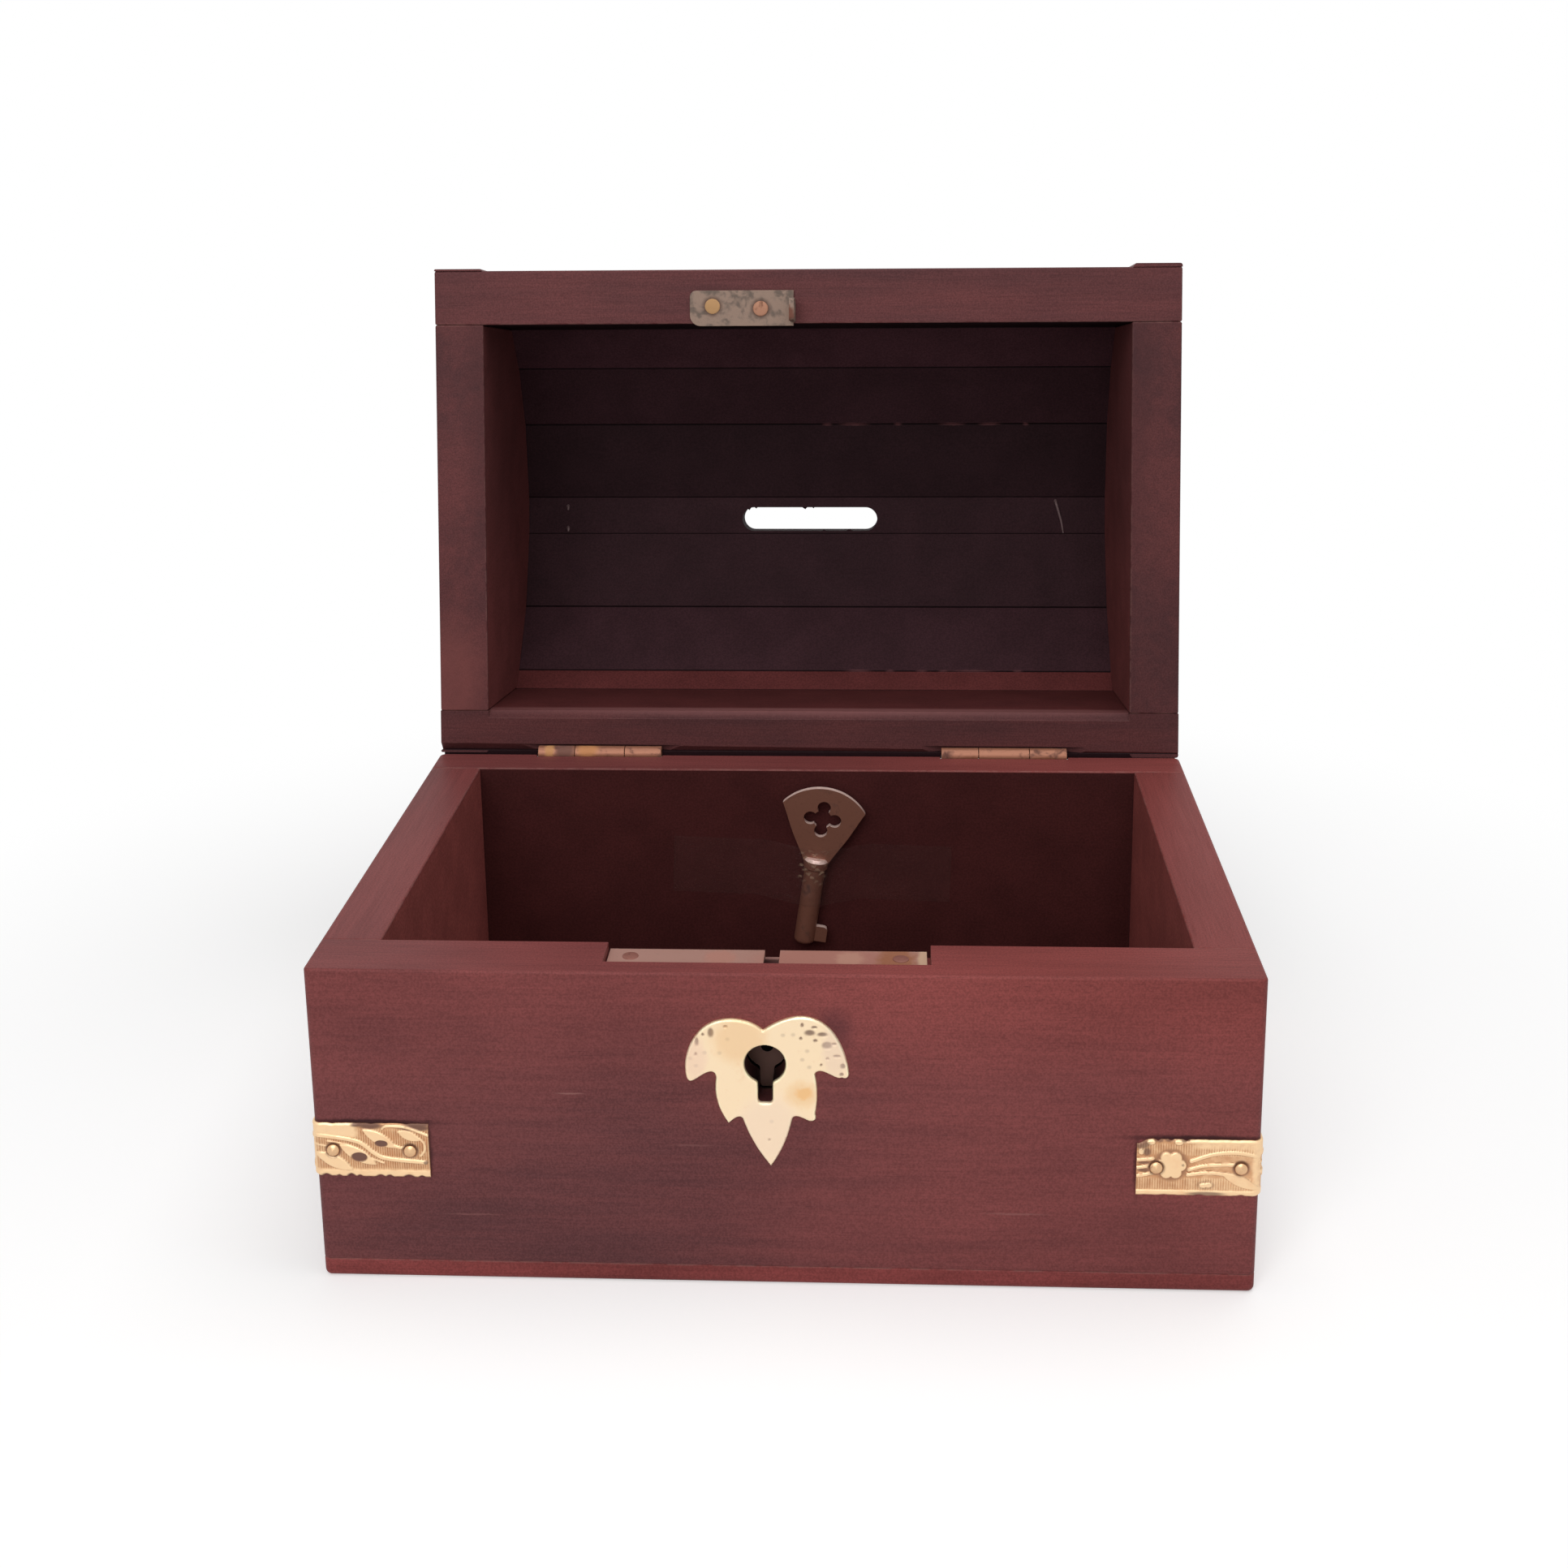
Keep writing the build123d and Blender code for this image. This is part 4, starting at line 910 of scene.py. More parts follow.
def corner_strip(name):
    """A pressed brass strip round one corner of the base."""
    side, end, face_kind, side_kind, low_bites, high_bites = CORNER_STRIPS[name]
    node = f"base_{name}_strip"
    low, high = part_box(node)
    bottom, top = low.z / MM, high.z / MM
    height = top - bottom
    leg = HALF_WIDTH - min(abs(low.x), abs(high.x)) / MM
    x, y, nx, ny, turn = corner_line(leg, SIDE_LEG, settings("brass").step / MM)
    u_face, u_side = HALF_WIDTH - x, HALF_DEPTH - y
    u_edge = np.where(turn < 0.5, u_face, u_side)
    first = ragged_edge(u_edge, 1.0, high_bites)[:, None]
    last = height - ragged_edge(u_edge, 2.6, low_bites)[:, None]
    v = rows_across(first, last, height, CORNER_ROW)
    middle = height / 2
    parts = []
    for kind, u, long, rise in ((face_kind, u_face, leg, 0.0), (side_kind, u_side, SIDE_LEG, SIDE_NAIL_RISE)):
        grid = np.broadcast_to(u[:, None], v.shape)
        relief, stain = ornament(kind, grid, v, long, height)
        nails = [(STRIP_NAIL_INSET, middle - rise), (long - STRIP_NAIL_INSET, middle - rise)]
        parts.append(around_nails(relief, stain, grid, v, nails))
    blend = turn[:, None]
    relief = parts[0][0] * (1 - blend) + parts[1][0] * blend
    stain = parts[0][1] * (1 - blend) + parts[1][1] * blend
    lift, stain = pressed(relief, stain, v, first, last, CORNER_ROW)

    def placed(v_here, out):
        """Points of the strip for places across it and heights above the wood."""
        x_here, y_here = side * (x[:, None] + nx[:, None] * out), end * (y[:, None] + ny[:, None] * out)
        return np.stack([x_here, y_here, top - v_here], -1)

    ends = v[:, [0, -1]]
    inner = placed(ends, np.full(ends.shape, -STRIP_SUNK))
    mesh = shell(f"{name}_pressed_strip", placed(v, lift), inner, relief=relief, stain=stain)
    return place_piece(f"{name}_pressed_strip", mesh, embossed_brass("pressed_brass"), "embossed_brass", node)


LID_STRIP_WIDTH = 10.6
LID_STRIP_Y = 4.1
LID_STRIP_START = 52.8
LID_STRIP_LEG = 19.0
BAND_WIDTH = 9.8
BAND_PROUD = {-1: 0.4, 1: 0.75}
LID_NAILS = {-1: ((-57.0, 1.4), (-57.0, 6.3)), 1: ((54.9, 0.4), (56.6, 7.4))}
LID_LEG_NAILS = (6.0, 15.5)
DOME_TOP_INSIDE = DOME[1] + DOME_INNER


def lid_strip(side):
    """A pressed brass strip over one end of the lid, stepped over the band and bent down the end."""
    name = "left" if side < 0 else "right"
    proud = BAND_PROUD[side]
    step = HALF_WIDTH - BAND_WIDTH
    line = [(LID_STRIP_START, 0.0), (step - 0.5, 0.0), (step + 0.4, proud), (HALF_WIDTH - 0.5, proud)]
    line += [(HALF_WIDTH - 0.15, proud - 0.15), (HALF_WIDTH, proud - 0.5), (HALF_WIDTH, proud - LID_STRIP_LEG)]
    line = np.array(line)
    far = np.concatenate([[0], np.cumsum(np.hypot(*np.diff(line, axis=0).T))])
    s = np.linspace(0, far[-1], int(far[-1] / (settings("brass").step / MM)) + 1)
    x, rise = np.interp(s, far, line[:, 0]), np.interp(s, far, line[:, 1])
    dx, dr = np.gradient(x), np.gradient(rise)
    for _ in range(6):
        dx = np.convolve(np.pad(dx, 2, "edge"), np.ones(5) / 5, "valid")
        dr = np.convolve(np.pad(dr, 2, "edge"), np.ones(5) / 5, "valid")
    size = np.hypot(dx, dr)
    nx, nr = -dr / size, dx / size
    first = ragged_edge(s, 0.4, NICKS)[:, None]
    last = LID_STRIP_WIDTH - ragged_edge(s, 2.0, SCALLOPS)[:, None]
    v = rows_across(first, last, LID_STRIP_WIDTH, LID_ROW)
    grid = np.broadcast_to(s[:, None], v.shape)
    half = 0.5 * far[-1]
    near_relief, near_stain = flower_ornament(grid, v * ORNAMENT_HEIGHT / LID_STRIP_WIDTH)
    far_relief, far_stain = vine_ornament(grid - half, v * ORNAMENT_HEIGHT / LID_STRIP_WIDTH)
    blend = soft_step(half - 0.6, half + 0.6, grid)
    relief = near_relief * (1 - blend) + far_relief * blend
    stain = near_stain * (1 - blend) + far_stain * blend
    across = LID_STRIP_Y - LID_STRIP_WIDTH / 2
    nails = [(abs(nail_x) - LID_STRIP_START, nail_y - across) for nail_x, nail_y in LID_NAILS[side]]
    nails += [(far[5] + drop - proud, LID_STRIP_WIDTH / 2) for drop in LID_LEG_NAILS]
    relief, stain = around_nails(relief, stain, grid, v, nails)
    lift, stain = pressed(relief, stain, v, first, last, LID_ROW)

    def placed(v_here, out):
        """Points of the strip for places across it and heights above the wood."""
        y = across + v_here
        lean = (y - DOME[0]) / DOME_OUTER
        radius = DOME_OUTER + rise[:, None] + nr[:, None] * out
        on_leg = soft_step(0.4, 4.0, proud - rise)[:, None]
        curved_z, curved_y = DOME[1] + radius * np.cos(lean), DOME[0] + radius * np.sin(lean)
        y = curved_y * (1 - on_leg) + y * on_leg
        z = curved_z * (1 - on_leg) + (DOME[1] + radius - 0.2) * on_leg
        return swing(np.stack([side * (x[:, None] + nx[:, None] * out), y, z], -1))

    ends = v[:, [0, -1]]
    inner = placed(ends, np.full(ends.shape, -STRIP_SUNK))
    mesh = shell(f"lid_{name}_pressed_strip", placed(v, lift), inner, relief=relief, stain=stain)
    return place_piece(mesh.name, mesh, embossed_brass("pressed_brass"), "embossed_brass", f"lid_{name}_strip")


# Escutcheon


def plate_loops(node, outward):
    """Outlines of a plate's face that looks outward, as rows of X and Z in millimetres."""
    work = solid(node)
    rim = {}
    for edge in work.edges:
        facing = [face.normal.dot(outward) > 0.99 for face in edge.link_faces]
        if facing.count(True) == 1:
            a, b = edge.verts
            rim.setdefault(a, []).append(b)
            rim.setdefault(b, []).append(a)
    loops = []
    while rim:
        start = min(rim, key=lambda vertex: tuple(vertex.co))
        loop, here = [], start
        while here in rim:
            nexts = [vertex for vertex in rim.pop(here) if vertex in rim]
            loop.append((here.co.x / MM, here.co.z / MM))
            if not nexts:
                break
            here = nexts[0]
        loops.append(np.array(loop))
    work.free()
    return loops


def inside_loops(u, v, loops):
    """Whether each point lies in the plate: in the outline and in no hole."""
    inside = np.zeros(np.shape(u), bool)
    for loop in loops:
        for (a, b), (c, d) in zip(loop, np.roll(loop, -1, axis=0)):
            crosses = (b > v) != (d > v)
            with np.errstate(divide="ignore", invalid="ignore"):
                inside ^= crosses & (u < (c - a) * (v - b) / (d - b) + a)
    return inside


def from_edge(u, v, loops):
    return np.min([off_path(u, v, np.vstack([loop, loop[:1]])) for loop in loops], axis=0)


# Pits of the keyhole leaf: X and drop from the base's top, then radii
LEAF_PITS = (
    ((-11.05, 9.86), (0.45, 0.80)), ((-13.30, 11.46), (0.30, 0.75)), ((-13.50, 13.60), (0.20, 0.32)),
    ((-8.70, 8.75), (0.35, 0.24)), ((-12.30, 10.15), (0.22, 0.24)), ((3.45, 8.35), (0.25, 0.38)),
    ((4.63, 9.70), (0.80, 0.50)), ((5.35, 8.70), (0.45, 0.24)), ((6.65, 9.95), (0.80, 0.38)),
    ((5.50, 11.00), (0.34, 0.28)), ((7.36, 11.83), (0.78, 0.62)), ((3.20, 10.65), (0.24, 0.28)),
    ((8.45, 11.55), (0.42, 0.24)), ((8.90, 13.65), (0.58, 0.26)), ((7.40, 14.10), (0.28, 0.20)),
    ((9.80, 15.40), (0.40, 0.48)), ((9.60, 16.80), (0.33, 0.28)), ((6.40, 15.20), (0.20, 0.24)),
    ((-2.00, 28.50), (0.22, 0.22)),
)
# Faint reddish marks on the same face
LEAF_MARKS = (
    (-8.4, 10.9), (-9.7, 13.3), (-12.1, 13.3), (-13.5, 15.6), (-14.4, 14.3), (3.4, 14.3), (4.5, 15.6),
    (4.2, 12.8), (2.0, 10.0), (0.4, 10.1), (-1.9, 21.5), (-1.6, 25.2),
)
LEAF_MARK_RADII = (0.34, 0.30)
LEAF_THICKNESS = 0.6
LEAF_EDGE = 0.42
LEAF_STEP = 0.19


def leaf_points(loops):
    """A staggered grid of points inside the plate, with closer rows along its edges."""
    low, high = np.min(np.vstack(loops), axis=0), np.max(np.vstack(loops), axis=0)
    grid_x, grid_z = np.meshgrid(np.arange(low[0], high[0], LEAF_STEP), np.arange(low[1], high[1], LEAF_STEP))
    grid_x = grid_x + LEAF_STEP / 2 * (np.arange(grid_x.shape[0]) % 2)[:, None]
    points = np.stack([grid_x.ravel(), grid_z.ravel()], -1)
    for inset in (0.12, 0.26):
        for loop in loops:
            run = np.roll(loop, -1, axis=0) - np.roll(loop, 1, axis=0)
            normal = np.stack([run[:, 1], -run[:, 0]], -1) / (np.hypot(*run.T)[:, None] + 1e-9)
            points = np.vstack([points, loop + normal * inset, loop - normal * inset])
    depth_in = from_edge(*points.T, loops)
    return points[inside_loops(*points.T, loops) & (depth_in > 0.1)]


def leaf_faces(loops):
    """The plate's face cut into triangles: its points, X and Z in millimetres, and the triangles."""
    corners, edges = [], []
    for loop in loops:
        first = len(corners)
        corners += loop.tolist()
        edges += [(first + k, first + (k + 1) % len(loop)) for k in range(len(loop))]
    every = [Vector(point) for point in corners + leaf_points(loops).tolist()]
    points, _, faces, *_ = geometry.delaunay_2d_cdt(every, edges, [], 0, 1e-5)
    points = np.array([tuple(point) for point in points])
    middles = np.array([points[list(face)].mean(axis=0) for face in faces])
    inside = inside_loops(*middles.T, loops)
    return points, [list(face) for face, kept in zip(faces, inside) if kept]


def keyhole_leaf():
    """The leaf-shaped keyhole plate with rounded edges and small pits."""
    loops = plate_loops("escutcheon", Vector((0, -1, 0)))
    points, faces = leaf_faces(loops)
    far = from_edge(*points.T, loops)
    rounding = LEAF_EDGE - np.sqrt(np.clip(LEAF_EDGE**2 - np.clip(LEAF_EDGE - far, 0, None) ** 2, 0, None))
    lift = LEAF_THICKNESS - rounding
    right, drop = points[:, 0], BASE_TOP - points[:, 1]
    stain = np.zeros(len(points))
    for place, radii in LEAF_PITS:
        pit = disc(right, drop, place, radii, 0.8)
        lift = lift - 0.16 * pit
        stain = np.maximum(stain, 0.75 * pit)
    stain = stained(stain, 0.22, right, drop, [(place, LEAF_MARK_RADII) for place in LEAF_MARKS], 0.9)
    count = len(points)
    front = np.stack([points[:, 0], FRONT - lift, points[:, 1]], -1)
    back = np.stack([points[:, 0], np.full(count, FRONT), points[:, 1]], -1)
    sides = dict.fromkeys((a, b) for face in faces for a, b in zip(face, face[1:] + face[:1]))
    walls = [[b, a, a + count, b + count] for a, b in sides if (b, a) not in sides]
    backs = [[corner + count for corner in reversed(face)] for face in faces]
    every = np.concatenate([front, back])
    return skin("keyhole_leaf", every, faces + backs + walls, 60, stain=stain, wear=soft_step(0.5, 0.1, far))


# Nails


def nail_places(node):
    """Seat, outward direction, head radius and length of each nail in a node, read from its solids."""
    work = solid(node)
    left, nails = set(work.verts), []
    while left:
        start = min(left, key=lambda vertex: tuple(vertex.co))
        island, queue = set(), [start]
        while queue:
            here = queue.pop()
            if here in island:
                continue
            island.add(here)
            queue += [edge.other_vert(here) for edge in here.link_edges]
        left -= island
        points = np.array([tuple(vertex.co) for vertex in island])
        middle = points.mean(axis=0)
        one = points[np.argmax(np.linalg.norm(points - middle, axis=1))]
        other = points[np.argmax(np.linalg.norm(points - one, axis=1))]
        one = points[np.argmax(np.linalg.norm(points - other, axis=1))]
        axis = (one - other) / np.linalg.norm(one - other)
        along = (points - other) @ axis
        away = np.linalg.norm(points - other - along[:, None] * axis, axis=1)
        if away[along > along.max() / 2].max() < away[along < along.max() / 2].max():
            axis, one, other = -axis, other, one
            along = (points - other) @ axis
        for _ in range(3):
            head = points[along > 0.8 * along.max()].mean(axis=0)
            tip = points[along < 0.2 * along.max()].mean(axis=0)
            axis = (head - tip) / np.linalg.norm(head - tip)
            along = (points - tip) @ axis
            tip, along = tip + axis * along.min(), along - along.min()
        away = np.linalg.norm(points - tip - along[:, None] * axis, axis=1)
        nails.append((tip + axis * along.max(), axis, away.max(), along.max()))
    work.free()
    return sorted(nails, key=lambda nail: tuple(np.round(nail[0], 6)))


NAIL_RINGS, NAIL_SIDES, SHANK_SIDES = 9, 22, 12
# How far round the dome the last ring of a head goes, and what is left of its width there, squared
DOME_REACH, DOME_LEAST = pi / 2 * 0.985, 0.0004
SHANK_TAPER = 0.45


def nail_head(w, i):
    """A dome turned round a short upright line; a higher flatness makes it flatter."""
    line = w.out("GeometryNodeCurvePrimitiveLine", {"Start": (0, 0, 0), "End": (0, 0, 1)})
    rings = w.out("GeometryNodeResampleCurve", {"Curve": line, "Count": NAIL_RINGS})
    climb = w.math("SINE", w.math("MULTIPLY", w.out("GeometryNodeSplineParameter"), DOME_REACH))
    flat = w.math("POWER", climb, i["Flatness"])
    width = w.math("SQRT", w.math("MAXIMUM", w.math("SUBTRACT", 1.0, flat), DOME_LEAST))
    spine = w.out("ShaderNodeCombineXYZ", {2: w.math("MULTIPLY", climb, i["Head Rise"])})
    rings = w.out("GeometryNodeSetPosition", {"Geometry": rings, "Position": spine})
    radius = w.math("MULTIPLY", width, i["Head Radius"])
    rings = w.out("GeometryNodeSetCurveRadius", {"Curve": rings, "Radius": radius})
    circle = w.out("GeometryNodeCurvePrimitiveCircle", {"Resolution": NAIL_SIDES, "Radius": 1.0})
    head = w.node("GeometryNodeCurveToMesh", {"Curve": rings, "Profile Curve": circle, "Fill Caps": True})
    if "Scale" in head.inputs:
        w.join(w.out("GeometryNodeInputRadius"), head.inputs["Scale"])
    return head.outputs[0]


def nail_shank(w, i):
    sockets = {"Vertices": SHANK_SIDES, "Radius Top": i["Shank Radius"], "Depth": i["Shank Length"]}
    sockets["Radius Bottom"] = w.math("MULTIPLY", i["Shank Radius"], SHANK_TAPER)
    cone = w.out("GeometryNodeMeshCone", sockets)
    down = w.out("ShaderNodeCombineXYZ", {2: w.math("MULTIPLY", i["Shank Length"], -1.0)})
    return w.out("GeometryNodeTransform", {"Geometry": cone, "Translation": down})


def nail_tree():
    """Geometry nodes that set a domed nail on every point, along the point's facing."""
    found = bpy.data.node_groups.get("Driven Nails")
    if found:
        return found
    tree = bpy.data.node_groups.new("Driven Nails", "GeometryNodeTree")
    face = tree.interface
    face.new_socket("Geometry", in_out="INPUT", socket_type="NodeSocketGeometry")
    for label, kind, default in (
        ("Head Radius", "Float", 0.001),
        ("Head Rise", "Float", 0.0005),
        ("Flatness", "Float", 2.0),
        ("Shank Radius", "Float", 0.00045),
        ("Shank Length", "Float", 0.007),
        ("Lean", "Float", 0.06),
        ("Seed", "Int", 4),
    ):
        face.new_socket(label, in_out="INPUT", socket_type=f"NodeSocket{kind}").default_value = default
    face.new_socket("Material", in_out="INPUT", socket_type="NodeSocketMaterial")
    face.new_socket("Geometry", in_out="OUTPUT", socket_type="NodeSocketGeometry")
    w = Wiring(tree)
    i = w.node("NodeGroupInput").outputs
    parts = w.node("GeometryNodeJoinGeometry")
    for part in (nail_head(w, i), nail_shank(w, i)):
        w.join(part, parts.inputs[0])
    smooth = w.out("GeometryNodeSetShadeSmooth", {"Geometry": parts.outputs[0]})
    facing = w.out("GeometryNodeInputNamedAttribute", {"Name": "facing"}, data_type="FLOAT_VECTOR")
    anywhere = {"Min": (-1.0, -1.0, -1.0), "Max": (1.0, 1.0, 1.0), "Seed": i["Seed"]}
    lean = w.out("FunctionNodeRandomValue", anywhere, data_type="FLOAT_VECTOR")
    leaning = w.out("ShaderNodeVectorMath", {0: lean, 3: i["Lean"]}, operation="SCALE")
    aim = {"Vector": w.vector("ADD", facing, leaning)}
    turned = w.out("FunctionNodeAlignRotationToVector", aim, axis="Z")
    placed = w.out("GeometryNodeInstanceOnPoints", {"Points": i["Geometry"], "Instance": smooth, "Rotation": turned})
    real = w.out("GeometryNodeRealizeInstances", {"Geometry": placed})
    done = w.out("GeometryNodeSetMaterial", {"Geometry": real, "Material": i["Material"]})
    w.join(done, w.node("NodeGroupOutput").inputs[0])
    return tree


def set_inputs(modifier, **values):
    """Sets a tree's inputs by their sockets' identifiers; names are given in lower case."""
    for item in modifier.node_group.interface.items_tree:
        key = item.name.lower().replace(" ", "_")
        if item.item_type == "SOCKET" and item.in_out == "INPUT" and key in values:
            modifier[item.identifier] = values[key]


SHANK_SHARE = 0.42


def driven_nails(name, node, material, slot, flatness=2.0, rise=None, lean=0.06, seed=4, size=1.0):
    """Every nail of one node as domed nails in the same places; size is the head's width against the solid's."""
    nails = nail_places(node)
    radius, whole = nails[0][2] * size, nails[0][3]
    rise = rise or min(0.5 * MM, radius / 2)
    points = [tuple(top - axis * rise) for top, axis, _, _ in nails]
    mesh = bpy.data.meshes.new(name)
    mesh.from_pydata(points, [], [])
    facing = mesh.attributes.new("facing", "FLOAT_VECTOR", "POINT")
    facing.data.foreach_set("vector", np.array([axis for _, axis, _, _ in nails], np.float32).ravel())
    worked = link(name, mesh)
    modifier = worked.modifiers.new("Nails", "NODES")
    modifier.node_group = nail_tree()
    set_inputs(
        modifier, head_radius=radius, head_rise=rise, flatness=flatness, shank_radius=radius * SHANK_SHARE,
        shank_length=whole - rise, lean=lean, seed=seed, material=material,
    )
    return place_piece(name, baked(worked), material, slot, node)


def bent_nail(name, path, radius, material, slot, body):
    """A nail's end, bent over and left lying on the wood: a tapered rod along a path in millimetres."""
    curve = bpy.data.curves.new(name, "CURVE")
    curve.dimensions = "3D"
    curve.bevel_depth = radius * MM
    curve.bevel_resolution = 3
    curve.use_fill_caps = True
    spline = curve.splines.new("POLY")
    spline.points.add(len(path) - 1)
    for k, place in enumerate(path):
        spline.points[k].co = (*(part * MM for part in place), 1.0)
        spline.points[k].radius = 1.0 - 0.6 * k / (len(path) - 1)
    holder = link(name, curve)
    depsgraph = bpy.context.evaluated_depsgraph_get()
    mesh = bpy.data.meshes.new_from_object(holder.evaluated_get(depsgraph), depsgraph=depsgraph)
    bpy.data.objects.remove(holder)
    bpy.data.curves.remove(curve)
    mesh.shade_smooth()
    return add_piece(name, mesh, material, slot, body)


# Key and tape


KEY_X, KEY_TIP_Z, KEY_TILT = -0.4, 18.9, radians(8.6)
KEY_Y = INNER_BACK - 0.1 - 2.45
TAPE_LEFT, TAPE_RIGHT, TAPE_LOW, TAPE_WIDTH = -27.0, 29.5, 27.6, 12.0
TAPE_SLOPE = radians(2.0)
TAPE_TENT, TAPE_RADIUS, TAPE_WALL, TAPE_THICKNESS = 10.5, 2.5, 2.5, 0.15
TAPE_POINTS = (227, 49)


def tent(away, radius, foot):
    """How far the tape lies behind the key's axis, for a distance to the side of it: round the key, then straight."""
    reach = np.hypot(foot, TAPE_WALL)
    lean = np.arctan2(TAPE_WALL, foot) - np.arccos(radius / reach)
    touch = (radius * cos(lean), radius * sin(lean))
    away = np.abs(away)
    over = -np.sqrt(np.clip(radius**2 - away**2, 0, None))
    slope = (TAPE_WALL - touch[1]) / (foot - touch[0])
    side = touch[1] + (away - touch[0]) * slope
    return np.where(away < touch[0], over, np.where(away < foot, side, TAPE_WALL))


def wrinkled_tape():
    """Clear tape drawn over the key's barrel and stuck to the wall on both sides of it."""
    half = TAPE_WIDTH / 2
    middle_x, middle_z = (TAPE_LEFT + TAPE_RIGHT) / 2, TAPE_LOW + half
    along = np.linspace(TAPE_LEFT - middle_x, TAPE_RIGHT - middle_x, TAPE_POINTS[0])
    a, b = np.meshgrid(along, np.linspace(-half, half, TAPE_POINTS[1]), indexing="ij")
    b = b + 0.12 * np.sin(1.9 * a) * (np.abs(b) / half) ** 4 * np.sign(-b) * 0.5
    x = middle_x + a * cos(TAPE_SLOPE) + b * sin(TAPE_SLOPE)
    z = middle_z - a * sin(TAPE_SLOPE) + b * cos(TAPE_SLOPE)
    away = (x - KEY_X) * cos(KEY_TILT) - (z - KEY_TIP_Z) * sin(KEY_TILT)
    up = (x - KEY_X) * sin(KEY_TILT) + (z - KEY_TIP_Z) * cos(KEY_TILT)
    near = soft_step(11.0, 3.0, np.abs(away))
    folds = np.sin(1.3 * up + 0.9 * away) + 0.7 * np.sin(2.9 * up - 1.1 * away + 1.0) + 0.5 * np.sin(4.3 * up + 0.4)
    lift = settings("key").wrinkle / MM * near * np.clip(folds / 1.6, 0, 1)
    inner = np.stack([x, KEY_Y + tent(away, TAPE_RADIUS, TAPE_TENT) - lift, z], -1)
    over = tent(away, TAPE_RADIUS + TAPE_THICKNESS, TAPE_TENT + TAPE_THICKNESS)
    outer = np.stack([x, KEY_Y + over - lift - 0.02, z], -1)
    outer[..., 1] = np.minimum(outer[..., 1], inner[..., 1] - 0.05)
    rim = np.maximum(soft_step(5.4, 6.0, np.abs(b)), soft_step(27.6, 28.2, np.abs(a)))
    collar = soft_step(3.6, 1.8, np.abs(away + 0.6)) * soft_step(23.0, 19.0, up) * soft_step(12.0, 16.0, up)
    crumple = np.sin(2.6 * up + 1.9 * away + 0.5) + 0.8 * np.sin(4.9 * up - 3.4 * away + 2.0)
    crumple = crumple + 0.6 * np.sin(8.1 * up + 4.2 * away)
    # Where the tape gets its painted shine: crumples by the key's collar and the tape's edges
    fold = np.clip(1.1 * collar * np.clip(crumple - 0.3, 0, 1) + 0.10 * rim, 0, 1)
    return shell("wrinkled_tape", outer, inner, 40.0, fold=fold)


# Operators


class ChestPieceOperator:
    """Shared by the operators that make pieces of the chest."""

    bl_options = {"REGISTER", "UNDO"}

    def execute(self, context):
        self.make()
        return {"FINISHED"}


# Each scratch on the front: X, Z, half length and strength
SCRATCHES = ((-34.0, 33.9, 2.0, 0.8), (37.4, 13.6, 4.4, 0.5), (-50.8, 11.9, 3.8, 0.35), (-14.5, 25.0, 3.0, 0.3))


def front_marks():
    """Marks on the front of the base: a painted shadow and painted shade beside the brass, painted shade in the
    keyhole, and old scratches.
    """
    painted_shade = (0.022, 0.008, 0.010)
    # Painted shadow that the keyhole leaf casts to its right
    marks = [((8.1, FRONT, BASE_TOP - 9.6), (3.0, 3.0, 3.4), (0.045, 0.020, 0.028), 0.45, 0.0)]
    # Painted shade in the keyhole
    marks.append((KEYHOLE, (3.9, 9.0, 5.8), (0.006, 0.003, 0.003), 1.0, 0.0))
    for side in ("left", "right"):
        low, high = (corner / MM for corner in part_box(f"base_front_{side}_strip"))
        middle, half = (low + high) / 2, (high.x - low.x) / 2
        # Painted shade along each strip's top edge and inner side
        marks.append(((middle.x, FRONT, high.z + 0.1), (half * 1.06, 3.0, 0.50), painted_shade, 0.85, 0.4))
        inner = high.x if side == "left" else low.x
        marks.append(((inner, FRONT, middle.z), (0.45, 3.0, 4.7), painted_shade, 0.6, 0.4))
    for x, z, half, strength in SCRATCHES:
        marks.append(((x, FRONT, z), (half, 3.0, 0.16), (0.30, 0.13, 0.12), strength, 0.3))
    return marks


# Pale dashes along two stave joints: joint angle, then middle and half length of each dash along X
JOINT_DASHES = (
    (-20.98, ((3.0, 1.0), (9.0, 3.0), (19.0, 0.8), (31.2, 2.5), (39.6, 2.1), (47.8, 0.6))),
    (43.96, ((10.2, 2.5), (17.2, 0.9), (24.2, 1.1), (29.0, 1.0), (35.3, 4.3), (45.5, 1.0))),
)


def lid_marks():
    """The pale dashes along the joints inside the dome."""
    marks = []
    for angle, dashes in JOINT_DASHES:
        lean = radians(angle)
        y, z = DOME[0] + DOME_INNER * sin(lean), DOME[1] + DOME_INNER * cos(lean)
        marks += [(lid_spot(x, y, z), (half, 0.32, 0.32), (0.20, 0.075, 0.080), 0.5, 0.3) for x, half in dashes]
    return marks


def ledge_marks():
    """A lighter strip where the lid's back board meets the rim: rubbed wood, with a painted highlight for its lit
    edge.
    """
    return [(lid_spot(0, INNER_BACK, LID_RIM + 3.0), (74.0, 2.2, 1.4), (0.250, 0.098, 0.096), 0.85, 0.5)]


def lid_end_marks():
    """Painted shade on the upper parts inside both ends of the lid, and a reddish place on the rim of the left one."""
    dim, reddish = (0.055, 0.020, 0.022), (0.260, 0.080, 0.072)
    marks = [(lid_spot(side * 66.0, -26.0, LID_RIM + 16.0), (4.0, 34.0, 34.0), dim, 0.45, 0.0) for side in (-1, 1)]
    return [*marks, (lid_spot(-74.0, 36.0, LID_RIM), (7.0, 8.0, 13.0), reddish, 0.5, 3.0)]


# For each wall of the base, the direction of its grain and how much paler it is than the rest
BASE_WALLS = {
    "base_front_wall": ("x", 0.0),
    "base_back_wall": ("x", -0.12),
    "base_left_wall": ("y", -0.06),
    "base_right_wall": ("y", -0.15),
}
LID_TONE = -0.27
